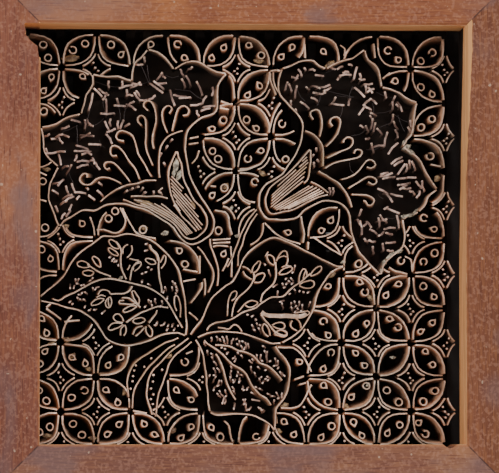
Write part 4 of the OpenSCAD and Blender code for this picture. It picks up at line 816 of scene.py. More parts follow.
@dataclass
class BentWires:
    """Wires that were knocked over sideways.

    Attributes:
        name: the piece's name.
        node: the node that it stands for.
        wires: cut tip and knee of each wire, as x, y, x, y on the stamp.
        metals: the wires' finish and that of their cut ends.
        radius: radius of a wire, in millimetres.
        foot: how far back a wire reaches, in millimetres.
    """

    name: str
    node: str
    wires: tuple[tuple[float, ...], ...]
    metals: list[bpy.types.Material]
    radius: float = 0.55
    foot: float = 16.0

    def build(self) -> None:
        """Makes the wires."""
        luck = random.Random(4)
        runs = []
        tips = KDTree(len(self.wires))
        for tip_x, tip_y, knee_x, knee_y in self.wires:
            tip, knee = Vector((tip_x, tip_y)), Vector((knee_x, knee_y))
            along = (tip - knee).normalized()
            aside = Vector((-along.y, along.x)) * luck.uniform(-0.5, 0.5)
            low = luck.uniform(1.6, 3.6)
            high = luck.uniform(0.3, 1.1)
            middle = (tip + knee) / 2 + aside
            foot = knee - along * luck.uniform(0.2, 1.0)
            cut = tip - along * 0.7
            tips.insert(on_stamp(tip, high - 0.2), len(runs))
            runs.append([
                on_stamp(foot, self.foot), on_stamp((knee + foot) / 2, low + 3.0), on_stamp(knee, low),
                on_stamp(middle, (low + high) / 2), on_stamp(cut, high), on_stamp(tip, high - 0.3)])
        tips.balance()
        piece = wire_mesh(self.name, runs, self.radius, 1)
        for metal in self.metals:
            piece.data.materials.append(metal)
        # Faces at each cut tip take the pale cut finish, partly a painted highlight.
        for face in piece.data.polygons:
            if tips.find(face.center)[2] < 0.62 * MM:
                face.material_index = 1
        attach(piece, "display")
        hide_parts(self.node)
        log.info("%s: %d faces", piece.name, len(piece.data.polygons))


@dataclass
class Threads:
    """Threads of cloth caught between the flowers' wires.

    Attributes:
        threads: both ends of each, as x, y, x, y on the stamp.
    """

    threads: tuple[tuple[float, ...], ...]

    def build(self) -> None:
        """Strings the threads between the wires."""
        luck = random.Random(5)
        runs = []
        for x0, y0, x1, y1 in self.threads:
            start, end = Vector((x0, y0)), Vector((x1, y1))
            sag = (start + end) / 2 + Vector((luck.uniform(-0.6, 0.6), luck.uniform(-1.0, 0.2)))
            depth = luck.uniform(2.0, 4.0)
            runs.append([on_stamp(start, depth), on_stamp(sag, depth + 1.5), on_stamp(end, depth)])
        piece = wire_mesh("caught_threads", runs, 0.14, 0)
        piece.data.materials.append(PlainMetal("thread_grey", (0.12, 0.1, 0.1), 0.6).build())
        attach(piece, "display")
        log.info("caught_threads: %d faces", len(piece.data.polygons))


@dataclass
class Leaflets:
    """Leaflets beside the branches, each bowed from one strip.

    Attributes:
        bows: x and y of the points of each strip on the stamp, one after the other.
        thickness: the strip's thickness, in millimetres.
        depth: how far back it reaches, in millimetres.
    """

    bows: tuple[tuple[float, ...], ...]
    thickness: float = 0.62
    depth: float = 16.4

    def build(self) -> bpy.types.Object:
        """Bows the strips.

        Returns:
            One mesh with all of them.
        """
        curve = bpy.data.curves.new("leaflet_strips", "CURVE")
        curve.dimensions = "2D"
        curve.fill_mode = "NONE"
        curve.extrude = self.depth / 2 * MM
        curve.resolution_u = 3
        for bow in self.bows:
            spline = curve.splines.new("BEZIER")
            spline.bezier_points.add(len(bow) // 2 - 1)
            for point, x, y in zip(spline.bezier_points, bow[::2], bow[1::2]):
                place = on_stamp((x, y), 0.0)
                point.co = (place.x, place.z, 0.0)
                point.handle_left_type = point.handle_right_type = "AUTO"
        piece = bpy.data.objects.new("leaflet_strips", curve)
        bpy.context.collection.objects.link(piece)
        piece.location.y = (self.depth / 2 - 19.58) * MM
        piece.rotation_euler.x = math.pi / 2
        hold(piece)
        bpy.ops.object.convert(target="MESH")
        piece = bpy.context.object
        bpy.ops.object.transform_apply(location=True, rotation=True, scale=True)
        modifier = piece.modifiers.new("strip", "SOLIDIFY")
        modifier.thickness = self.thickness * MM
        modifier.offset = 0.0
        bpy.ops.object.modifier_apply(modifier="strip")
        return piece


@dataclass
class Residue:
    """Lumps and films of wax or solder that cling between the strips.

    Attributes:
        name: the piece's name.
        finish: its finish.
        lumps: x, y, half length, half width, turn in degrees and depth of each lump.
    """

    name: str
    finish: "Film"
    lumps: tuple[tuple[float, ...], ...]

    def build(self) -> None:
        """Models one lump and copies it to every spot."""
        bpy.ops.object.select_all(action="DESELECT")
        bpy.ops.mesh.primitive_ico_sphere_add(subdivisions=3, radius=1.0)
        lump = bpy.context.object
        noise = bpy.data.textures.new("lump", "CLOUDS")
        noise.noise_scale = 0.45
        modifier = lump.modifiers.new("lump", "DISPLACE")
        modifier.texture = noise
        modifier.strength = 1.3
        bpy.ops.object.modifier_apply(modifier="lump")
        copies = []
        for x, y, length, width, turn, depth in self.lumps:
            hold(lump)
            bpy.ops.object.duplicate()
            copy = bpy.context.object
            copy.scale = (length * MM, 0.8 * MM, width * MM)
            copy.rotation_euler = (0.0, -math.radians(turn), 0.0)
            copy.location = on_stamp((x, y), depth)
            bpy.ops.object.transform_apply(location=True, rotation=True, scale=True)
            copies.append(copy)
        bpy.data.objects.remove(lump)
        hold(copies[0])
        for copy in copies:
            copy.select_set(True)
        bpy.ops.object.join()
        piece = bpy.context.object
        piece.name = self.name
        bpy.ops.object.shade_smooth()
        piece.data.materials.clear()
        piece.data.materials.append(self.finish.build())
        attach(piece, "display")
        log.info("%s: %d faces", piece.name, len(piece.data.polygons))


@dataclass
class Carriers:
    """Lattice, plates and legs behind the strips."""

    nodes: tuple[str, ...] = (
        "lattice_uprights", "lattice_crossbars", "flower_plate_left", "flower_plate_right",
        "leaf_plate_left", "leaf_plate_right", "fern_plate", "handle_leg_left", "handle_leg_right")

    def dress(self) -> None:
        """Paints the carriers."""
        paint(self.nodes, DarkCopper().build())


@dataclass
class Hardware:
    """Hangers and grip behind the frame."""

    steel: tuple[str, ...] = (
        "hanger_strap_left", "hanger_strap_right", "hanger_ring_left", "hanger_ring_right")

    def dress(self) -> None:
        """Paints the hangers, their screws and the grip."""
        paint(self.steel, PlainMetal("plated_steel", (0.62, 0.62, 0.6)).build())
        paint(("hanger_screws",), PlainMetal("screw_brass", (0.7, 0.5, 0.2)).build())
        paint(("handle_grip",), HandWornWood().build())


@dataclass
class Studio:
    """Floor, soft light and the photograph's camera."""

    distance: float = 1.97
    offset: RGB = (-0.1303, 0.0, -0.1009)
    aim_shift: RGB = (-0.0002, 0.03, 0.0002)
    lens: float = 293.5

    def floor(self) -> None:
        """Lays the pale floor."""
        bpy.ops.mesh.primitive_plane_add(size=6, location=(0, 0, 0))
        plane = bpy.context.object
        plane.name = "floor"
        tree = Tree("pale_floor")
        tree.feed("Base Color", (0.8, 0.79, 0.77))
        tree.feed("Roughness", 0.85)
        plane.data.materials.append(tree.material)
        plane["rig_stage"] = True

    def area(self, name: str, place: RGB, size: float, power: float, colour: RGB) -> None:
        """Hangs a soft light aimed at the stamp.

        Args:
            name: the light's name.
            place: where it hangs, in metres.
            size: side of the square light.
            power: watts.
            colour: its tint.
        """
        data = bpy.data.lights.new(name, "AREA")
        data.size = size
        data.energy = power
        data.color = colour
        lamp = bpy.data.objects.new(name, data)
        bpy.context.collection.objects.link(lamp)
        lamp.location = place
        self.aim(lamp, (0.0, 0.0, 0.134))

    @staticmethod
    def aim(thing: bpy.types.Object, target: RGB) -> None:
        """Turns a light or camera to look at a point."""
        direction = Vector(target) - thing.location
        thing.rotation_euler = direction.to_track_quat("-Z", "Y").to_euler()

    def light(self) -> None:
        """Hangs the lights and sets the sky."""
        self.area("left_light", (-3.3, -3.0, 0.2), 1.6, 150.0, (1.0, 0.97, 0.93))
        self.area("right_light", (3.3, -3.0, 0.7), 1.6, 135.0, (1.0, 0.97, 0.94))
        self.area("top_light", (0.3, -2.6, 3.2), 1.8, 85.0, (0.97, 0.98, 1.0))
        world = bpy.data.worlds.new("studio")
        world.use_nodes = True
        world.node_tree.nodes["Background"].inputs[0].default_value = (0.9, 0.92, 0.95, 1.0)
        world.node_tree.nodes["Background"].inputs[1].default_value = 0.2
        bpy.context.scene.world = world

    def camera(self) -> None:
        """Sets the photograph's view."""
        low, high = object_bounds()
        front, centre_z = low[1], (low[2] + high[2]) / 2
        data = bpy.data.cameras.new("photo_camera")
        data.lens = self.lens
        data.sensor_width = 36.0
        camera = bpy.data.objects.new("photo_camera", data)
        bpy.context.collection.objects.link(camera)
        camera.location = (self.offset[0], front - self.distance, centre_z + self.offset[2])
        shift_x, shift_y, shift_z = self.aim_shift
        self.aim(camera, (shift_x, front + shift_y, centre_z + shift_z))
        bpy.context.scene.camera = camera


STRIPS = (
    "kawung_petals", "kawung_rings", "star_strips", "flower_rim_left", "flower_rim_right",
    "tulip_left", "tulip_right", "stamens", "stems", "leaf_rims", "leaf_branches",
    "fern_strips", "narrow_leaves", "tulip_hatching")
PINS = ("star_pins", "narrow_leaf_pins")
WIRES = (
    (-70.6, 76, -66.6, 72), (-63.2, 72.5, -67.8, 75.7), (-66, 70, -64.2, 73.8), (-71, 73.5, -73, 65),
    (-63.2, 79.7, -63, 76.8), (-64.5, 70.6, -64.2, 63.5), (-67.2, 63.2, -60.6, 63.5), (-60.5, 67.3, -55, 67.1),
    (-49.7, 65, -54.2, 68.1), (-50.6, 69.4, -53.6, 67.4), (-59.2, 71, -58.3, 68.3), (-58, 76, -51.6, 77.8),
    (-47.5, 79.1, -52.1, 76.6), (-46.9, 77.9, -51.4, 78.6), (-56.5, 79.8, -56.4, 77.1), (-54.3, 75.4, -54, 72.6),
    (-51.2, 72.3, -54.2, 72.5), (-50.6, 73.9, -47.5, 70), (-49.7, 74.8, -48, 72.4), (-48.1, 70, -43.4, 70.7),
    (-40.1, 72.5, -43.2, 70.6), (-36.4, 73.8, -42.5, 78.8), (-41.1, 79.8, -36.1, 76), (-36.7, 84.1, -39.2, 80.7),
    (-35.2, 81.2, -36.6, 83.5), (-34.6, 78.8, -39.2, 78.7), (-46.3, 88, -49.8, 88.3), (-45.7, 92, -45.3, 90),
    (-30.6, 67.3, -32.7, 75.4), (-27.8, 85.8, -26, 82.5), (-27.2, 81, -25.4, 77.2), (-25, 82.6, -22.6, 78.1),
    (-21.7, 87, -23.6, 86), (-19.8, 79.7, -16.8, 73.2), (-12.1, 72.5, -11.6, 76.8), (-31.2, 72.8, -25, 72.2),
    (-28.4, 71.2, -22.9, 71.7), (-22.9, 67.5, -16.8, 68.9), (-14.9, 72.4, -16.7, 68.8), (-10.6, 67.4, -16, 66.9),
    (-19.8, 65, -18.6, 62.6), (-13, 66.3, -17.2, 65), (-62.3, 60.6, -62.2, 57.3), (-65.1, 59.3, -62.9, 55),
    (-59.8, 55.6, -63.8, 54), (-61.4, 48, -64.1, 52.7), (-58.6, 59.6, -58.3, 56), (-55.8, 60, -57.3, 56),
    (-52.8, 58.1, -54.9, 57), (-70.7, 56.8, -73.1, 57.6), (-74.9, 60, -74.8, 55.9), (-72.2, 57.4, -73.7, 60.5),
    (-81.7, 60, -77.2, 59), (-82.6, 56.8, -86.2, 55.6), (-92.2, 52.7, -94.4, 51.8), (-91.6, 50.2, -88.8, 50.6),
    (-85.7, 52.7, -88.8, 51.4), (-82.6, 51.2, -85.4, 52.6), (-85.8, 48, -87.6, 51.2), (-70.4, 51.8, -77, 52.4),
    (-72.2, 53.4, -76.5, 51.2), (-73.1, 47.7, -67.3, 47.6), (-79.2, 47.1, -73.5, 45.5), (-80.2, 44.2, -73.2, 44.7),
    (-76.5, 42.4, -72.2, 44.2), (-71.5, 42.4, -75.8, 44.3), (-79.9, 39.2, -78.8, 42.4), (-78.9, 38.9, -73.2, 39.2),
    (-70.2, 39.9, -73.4, 38.6), (-70, 37.7, -70.9, 40.7), (-67.5, 34.9, -69.4, 38.6), (-78.8, 35.8, -73.5, 37.4),
    (-94, 43, -88.3, 43.9), (-94.2, 45.6, -93, 43), (-84.5, 43.9, -89.2, 43.8), (-86.6, 37.1, -87.6, 42.4),
    (-81.4, 37.4, -83.8, 33), (-82.9, 36.7, -85.7, 35.8), (-88.2, 26.7, -85.5, 29.8), (-87.6, 28.2, -90.4, 27.9),
    (-91, 24.5, -88.2, 22.9), (-84.2, 26.7, -82.9, 23), (-81.4, 27.9, -79.9, 24.2), (-81.1, 22.3, -85.3, 20.4),
    (-84.8, 18.8, -80.6, 21.3), (-83.6, 19.1, -86.5, 17.6), (-80.1, 23.5, -74.7, 23.2), (-73.1, 24.8, -74, 25.9),
    (-73.1, 22, -70.1, 19.9), (-78.9, 19.8, -77.7, 21.4), (-68.8, 24.5, -65.8, 21.7), (-68.2, 28.5, -66.6, 27.6),
    (-82.6, 14.2, -81.4, 17.2), (-84.1, 11.2, -82, 14), (-86.4, 10, -84.6, 12.8), (-89.3, 16.6, -88.2, 14.1),
    (-53.7, 24.5, -54.6, 24), (-50.9, 25.7, -52.6, 25), (-48.1, 26.4, -49.6, 26), (-46, 26, -46.8, 24.9),
    (-44.6, 23.8, -45.8, 22.9), (-40.9, 24.3, -40.8, 22.8), (-38.4, 24, -36.8, 22.6),
    (-31.5, 50.5, -32.4, 49.6), (-34, 47.3, -34.6, 46.2), (-36.1, 38.7, -35.2, 37.5), (-37, 43.6, -37.6, 42.2),
    (33.4, 86.9, 34.4, 86.2), (39, 85.5, 36.9, 86.2), (39, 83.3, 43.2, 83), (30.6, 86.2, 32.3, 83.4),
    (27.4, 82.2, 30.2, 81.9), (30.6, 83.3, 29.5, 81.1), (25.3, 79.7, 24.3, 76), (26, 78.7, 27.4, 75.4),
    (29.9, 77.9, 29.2, 71.9), (27, 70.4, 27, 68), (34.4, 77.2, 36.2, 76.2), (41.5, 76.5, 37.9, 77.9),
    (46.4, 78.3, 40.8, 77.2), (43.2, 75.1, 46.7, 77.1), (37.9, 74.3, 40.8, 74), (44.3, 74.4, 40.9, 74),
    (36.9, 71.8, 40.1, 70.5), (31.6, 69.7, 35.8, 66.6), (29, 66, 30, 65.1), (49.2, 86.2, 47.1, 87.2),
    (49.9, 86.2, 52.7, 88), (55.5, 88.7, 57.3, 88.6), (49.9, 80.8, 51.7, 82.6), (51, 83, 57.2, 83.7),
    (52.7, 84.4, 55.5, 85.1), (59.8, 87.6, 58.4, 81.6), (61.2, 84.4, 61.9, 81.2), (60.8, 81.5, 63.6, 81.4),
    (63.6, 72.2, 59, 77.2), (67.5, 79, 64, 79), (64, 78.3, 64.7, 75.2), (64.7, 74.7, 68.2, 76.5),
    (67.5, 74.3, 65.7, 77.2), (53.4, 68, 47.5, 69.1), (49.2, 72.2, 47.8, 69.4), (55.5, 68, 56.6, 71.5),
    (60.5, 63.2, 64, 67.9), (64, 67.2, 66.8, 66), (66.8, 71.5, 64.7, 70), (69.6, 68.7, 66.9, 71.4),
    (62.9, 67.9, 65, 70), (61.2, 57.8, 64.3, 57.1), (66.1, 62.9, 68.2, 60.7), (66.4, 64.3, 69.6, 63),
    (67.5, 61.4, 66.8, 56.4), (68.9, 59.3, 68.2, 55.1), (64, 57.8, 65.7, 55), (69.6, 56.4, 72.4, 53.6),
    (74.9, 54.6, 73.5, 47.5), (64, 51, 66.1, 51.6), (66.8, 48.9, 68.2, 44.7), (73.1, 47.8, 68.3, 47.1),
    (73.5, 75.1, 74.6, 72.3), (78.8, 72.9, 77.7, 70), (77.4, 70, 77.7, 66.5), (77.7, 63.6, 77.4, 60.1),
    (77.8, 60, 80.2, 56.4), (78.8, 55.7, 80.2, 52.1), (79.1, 68.6, 81.6, 67.5), (82.3, 65, 80.2, 69.9),
    (75.2, 43.5, 80.2, 49.1), (76.7, 38.5, 82.2, 42), (86.2, 60.7, 87.4, 55.2), (85, 57.1, 86.6, 54.6),
    (71.4, 33.1, 75.2, 34.1), (77.4, 33.8, 71.8, 32.3), (72.4, 30.9, 78.7, 32), (78.1, 37.6, 82.6, 40.2),
    (83.7, 38.5, 80.3, 33.5), (79.5, 30.8, 85, 31.6), (89.2, 31.5, 85.2, 31.7), (79.8, 27.7, 86.4, 29),
    (80.9, 25.5, 84.7, 27.7), (70, 25.9, 75.1, 23.5), (77.4, 19.1, 74.6, 23.3), (82.3, 21.9, 76.8, 23.4),
    (82.3, 26.1, 86.4, 26.3), (84.4, 38.5, 84.4, 34.9), (86.9, 39.9, 89, 35.7), (85.7, 40.4, 86.2, 36.6),
    (89, 29.6, 92, 26.6), (92.1, 30, 93.4, 25.2), (89.3, 21.3, 91.2, 24.7), (85.8, 24.8, 88.5, 23.4),
    (61.9, 15.5, 61.2, 12.7), (61.2, 7.6, 60.2, 10.2), (61.2, 9.7, 62.2, 3), (62.9, 6.9, 65, 9),
    (66.8, 6.2, 65.1, 9.1), (66.1, 5.4, 70.2, 2.7), (70.3, 1.9, 73.1, 4), (71, 12.6, 74.5, 9.2),
    (70.3, 11.2, 71, 7), (73.1, 15.5, 75.2, 16.8), (80.8, 13.4, 74.7, 16.2), (74.6, 10.5, 71.1, 9.7),
    (73.1, 5.4, 78.7, 6.2), (73.9, 3.6, 77.3, 2.9), (79.5, 12.5, 80.8, 6.4), (63.2, 0.6, 65.2, -0.7),
    (65.4, -0.3, 68.9, -0.7), (67.5, -3.2, 68.2, -6.6), (72.4, -1.7, 73.1, -5.2), (73.9, -1.6, 78.6, -1),
    (74.6, -5.3, 77.6, -5.4), (38.3, 39.2, 38.6, 37.4), (39.4, 46.4, 39.8, 45), (38.3, 43.1, 37.6, 42),
    (40, 40.6, 40.8, 39.6), (46, 26.3, 46.3, 22.9), (47.8, 26.3, 47.8, 23))
LEAF_WIRES = (
    (-63, -9.5, -61.6, -8.5), (-61.6, -11.3, -60.5, -10.2), (-60.4, -11.8, -59.8, -10.2),
    (-59.6, -11.6, -58.7, -10.5), (-58.4, -13.6, -58, -12.4), (-61, -10.2, -60, -9.7), (-45.2, -2.6, -44, -2.1),
    (-45.5, -6, -43.8, -5.4), (-44.1, -14.3, -43, -14), (-42.4, -15.4, -41.6, -15), (-45.2, -16.8, -44, -16.3),
    (-47, -17.5, -45.6, -17.2), (-46.8, -22, -46.2, -20.6), (-43.9, -22.4, -42.4, -23.2),
    (-70.7, -19.4, -71.9, -20.7), (-71.9, -20.7, -73.2, -21.6), (-79.4, -20, -79, -22), (-77.7, -19.9, -78.3, -21.8),
    (-79.2, -22.4, -77.8, -22.6), (-76.9, -23.4, -75.9, -23.2), (-75.6, -23, -74.8, -23.4), (-82, -25.2, -81.8, -23),
    (-80.3, -25.1, -79.8, -23.4), (-70.9, -24.3, -70.6, -25.8), (-70, -25.6, -67.8, -24), (-78.1, -28, -77, -28),
    (-76.6, -27.7, -75.6, -26.7), (-75, -26.6, -73.7, -27.4), (-78.6, -29.2, -77.9, -30.3),
    (-77.4, -30.2, -76.1, -30.7), (-75.7, -30.2, -74.5, -30.9), (-82.6, -32.1, -81.5, -31.1),
    (-81.1, -33.1, -80.5, -32.5), (-75, -34.7, -74.3, -33.5), (-73.1, -36.1, -71.8, -35.1),
    (-70.5, -35.7, -69.1, -35.2), (-66.6, -37.7, -64.9, -36.1), (-43.5, -30.3, -42.6, -32.2),
    (-42.3, -30.9, -41.6, -33), (-41.8, -32.8, -41.4, -34.4), (-40.2, -29.8, -39.7, -32), (-37, -30.8, -36.3, -32.3),
    (-37.9, -34.1, -36.7, -32.9), (-45.5, -34.4, -44.6, -33.5), (-34.3, -30.3, -33.9, -28.8),
    (-40.6, -43.3, -39.3, -43), (-39.6, -42.8, -39, -41.4), (-37.5, -43.4, -36.1, -43), (-36.1, -43.1, -35.1, -41.8),
    (-34.1, -44.1, -33.4, -42.9), (-34.6, -46.1, -33.7, -44.9), (-31.9, -44.1, -30.8, -42.4),
    (-31.1, -46.1, -30.3, -44.8), (-29.1, -43.8, -28.2, -42.9), (-31.7, -20.9, -31, -22.6),
    (-31.9, -23.8, -31.4, -25.7), (-30.5, -21.9, -29.6, -23.6), (-30, -23.9, -28.7, -25.3),
    (-29.7, -25.3, -29.3, -26.6), (-30.1, -26.8, -29.6, -28.2), (-35.4, -23.8, -34.6, -25.7),
    (-36.3, -27.2, -35.6, -25.8), (14.4, -13, 13.8, -12), (15.7, -15.2, 17, -18.1), (17.9, -24, 20.3, -22.5),
    (22.5, -21.9, 23.7, -23.5), (23.1, -24.4, 24.3, -23.7), (24.3, -22.7, 25.7, -21.7), (25.5, -20.7, 26.9, -21.5),
    (26.7, -19.2, 28.1, -20.7), (24, -20.1, 25.3, -19.4), (27, -22.6, 28.2, -21.8), (20.4, -25.8, 20.7, -29),
    (29, -12.8, 28.6, -15.4), (27.3, -16.9, 28.5, -15.9), (25.9, -27.6, 26.9, -27), (28.5, -24.9, 29.4, -26.3),
    (32.7, -26.2, 33.7, -26.6), (34.9, -26.9, 36.3, -26.1), (30.9, -26.4, 31.4, -25.5), (21.1, -31.5, 23.5, -30.7),
    (22.3, -31.8, 23.3, -34.3), (27, -31.6, 27.2, -33.2), (28.5, -30.9, 29.8, -33.1), (31.1, -31, 30.6, -33.7),
    (26.9, -33.9, 28.4, -36.1), (29.9, -34.5, 31.3, -35.9), (32.5, -32.6, 32.9, -35.7), (29.7, -33.2, 28.5, -34.5),
    (28.5, -36.9, 29.9, -35.7), (31.7, -36.5, 32.7, -34.8), (36.5, -31.2, 36, -33.6), (5, -37.8, 5.7, -37.9),
    (7.3, -38.9, 8.5, -38.2), (9.2, -40.3, 9.9, -40.5), (9.9, -42, 10.6, -43.3), (11.2, -42.9, 12, -43.5),
    (7.5, -42.8, 8.4, -45), (8.4, -45.2, 9.6, -46), (10.7, -44.4, 12.3, -46.8))
FERN_WIRES = (
    (-12.4, -49.2, -12.2, -51.1), (-9.9, -48.7, -9.2, -50.5), (-8.5, -49.9, -7.6, -51.1), (-7.1, -48.8, -6.2, -50.7),
    (-6.3, -50.6, -5.4, -52.5), (-4.9, -48.6, -4.3, -52.3), (-1.5, -49.8, -2.3, -52.4), (0.5, -49.9, -0.3, -50.4),
    (0, -52.5, 1.3, -53.3), (1.3, -50.8, 2.2, -53.3), (2.5, -51.1, 3.7, -51.6), (2.2, -53.3, 3, -55.3),
    (4.4, -51.8, 4.8, -55), (5.6, -52.2, 6.2, -54.5), (3.5, -55.7, 4.5, -53.9), (12.7, -53.5, 14.3, -54.3),
    (-16.1, -51.6, -15.1, -53.3), (-14.5, -55.8, -13.9, -57.9), (-7.7, -54.7, -6.7, -54.1), (-6.1, -54.9, -5.2, -55.2),
    (-12.7, -57.2, -11.5, -58.7), (-12.3, -59, -11.3, -60.7), (-11.3, -61.3, -9.7, -63.3), (-6.9, -57.7, -5.7, -58.7),
    (-5, -57.9, -3.9, -56.8), (-11.4, -64.6, -10.2, -67.1), (-9.7, -64.6, -8.2, -66.7), (-13.1, -68, -13.5, -69.3),
    (-11.6, -68.4, -9.8, -68.3), (-10.1, -68.9, -11.3, -71.7), (-8.4, -70.8, -9.7, -73.7), (-7.5, -70.8, -7.3, -73),
    (-9.7, -73.9, -8.4, -73.3), (-11.5, -76.2, -10.3, -74), (-8.6, -76, -6.1, -79.1), (-9.7, -77.4, -7.7, -79.1),
    (-7.1, -82.9, -6, -79.5), (-5.9, -82.8, -5.3, -80.2), (-5.7, -75.6, -4.7, -77.7), (-5.6, -79.2, -4.8, -78.5),
    (-2, -60.1, -0.7, -58.9), (-1.1, -61.7, -0.2, -59.9), (0.3, -56.7, 1.3, -57.5), (2.1, -58.1, 3, -59.1),
    (-2.9, -63.6, -2.3, -64.9), (-2.6, -65.8, -2.6, -69), (-3.1, -68.9, -2.5, -71.5), (-1.7, -72.1, -0.5, -70.5),
    (-2, -70.5, -1, -71.9), (0.5, -66.4, 1.7, -68.1), (0.1, -69.1, 0.8, -67.4), (2.1, -67.9, 3.4, -69.1),
    (1.2, -72.2, 1.7, -69.7), (1, -72.3, 2.1, -71.1), (-2.1, -74, -1, -76.5), (-1.7, -75.9, -0.6, -77.7),
    (2.7, -75.7, 3.3, -74), (3.1, -75.9, 4.5, -75.6), (4.9, -75.9, 6.1, -74.3), (-1.4, -85.6, -0.6, -82.4),
    (3.1, -80.4, 4.3, -81.7), (4.5, -80.2, 3.7, -82.5), (3.5, -83.1, 4.7, -82.3), (4.6, -82.8, 5, -85.5),
    (5.9, -85.9, 7.3, -84.5), (4.9, -86.1, 5.9, -85.3), (6.1, -60.7, 7.9, -62.1), (7.5, -60.1, 8.5, -60.9),
    (10, -57.8, 10.6, -60.5), (12.1, -57.8, 11.8, -60.7), (12.1, -60.9, 13.3, -61.3), (13.8, -55.8, 14.8, -59.5),
    (15.1, -56.2, 15.4, -61.7), (10.3, -63.9, 11.5, -64.9), (7, -63.8, 7.9, -66.7), (8.8, -66.8, 9.7, -68.6),
    (13.9, -65.9, 15.5, -65.3), (16.1, -61.5, 17.3, -60.9), (19, -59.6, 19.7, -61.9), (20.4, -60.8, 20.6, -62.9),
    (18.1, -63.7, 20.3, -63.3), (20.1, -65.1, 20.9, -64.3), (11.1, -69.8, 12, -71.5), (12.5, -68.9, 11.3, -70.7),
    (12.5, -72.5, 14.5, -70.9), (13.9, -70.2, 15.7, -70), (15.1, -71.1, 16.7, -69.9), (14.9, -68.9, 16.5, -69.5),
    (21.3, -66.4, 22.6, -68.7), (23.9, -68.9, 22.5, -67.1), (9.1, -74.1, 10.5, -74.7), (11.1, -74.9, 12.9, -75.7),
    (7.1, -76.9, 10.1, -78.3), (7.5, -80.5, 11.5, -81.2), (15.1, -77.4, 17.1, -79), (17.3, -78.8, 19.3, -79),
    (19.5, -76.8, 21, -79.3), (22.5, -77.2, 21.6, -80.1), (18.6, -80.6, 18.8, -82.7), (20.1, -80, 22.1, -79.5),
    (22.3, -78.9, 23.1, -80.7), (10.7, -84.3, 12.8, -86.9), (12.1, -85.6, 13.9, -86.3), (11.6, -84.8, 13.6, -86.8))
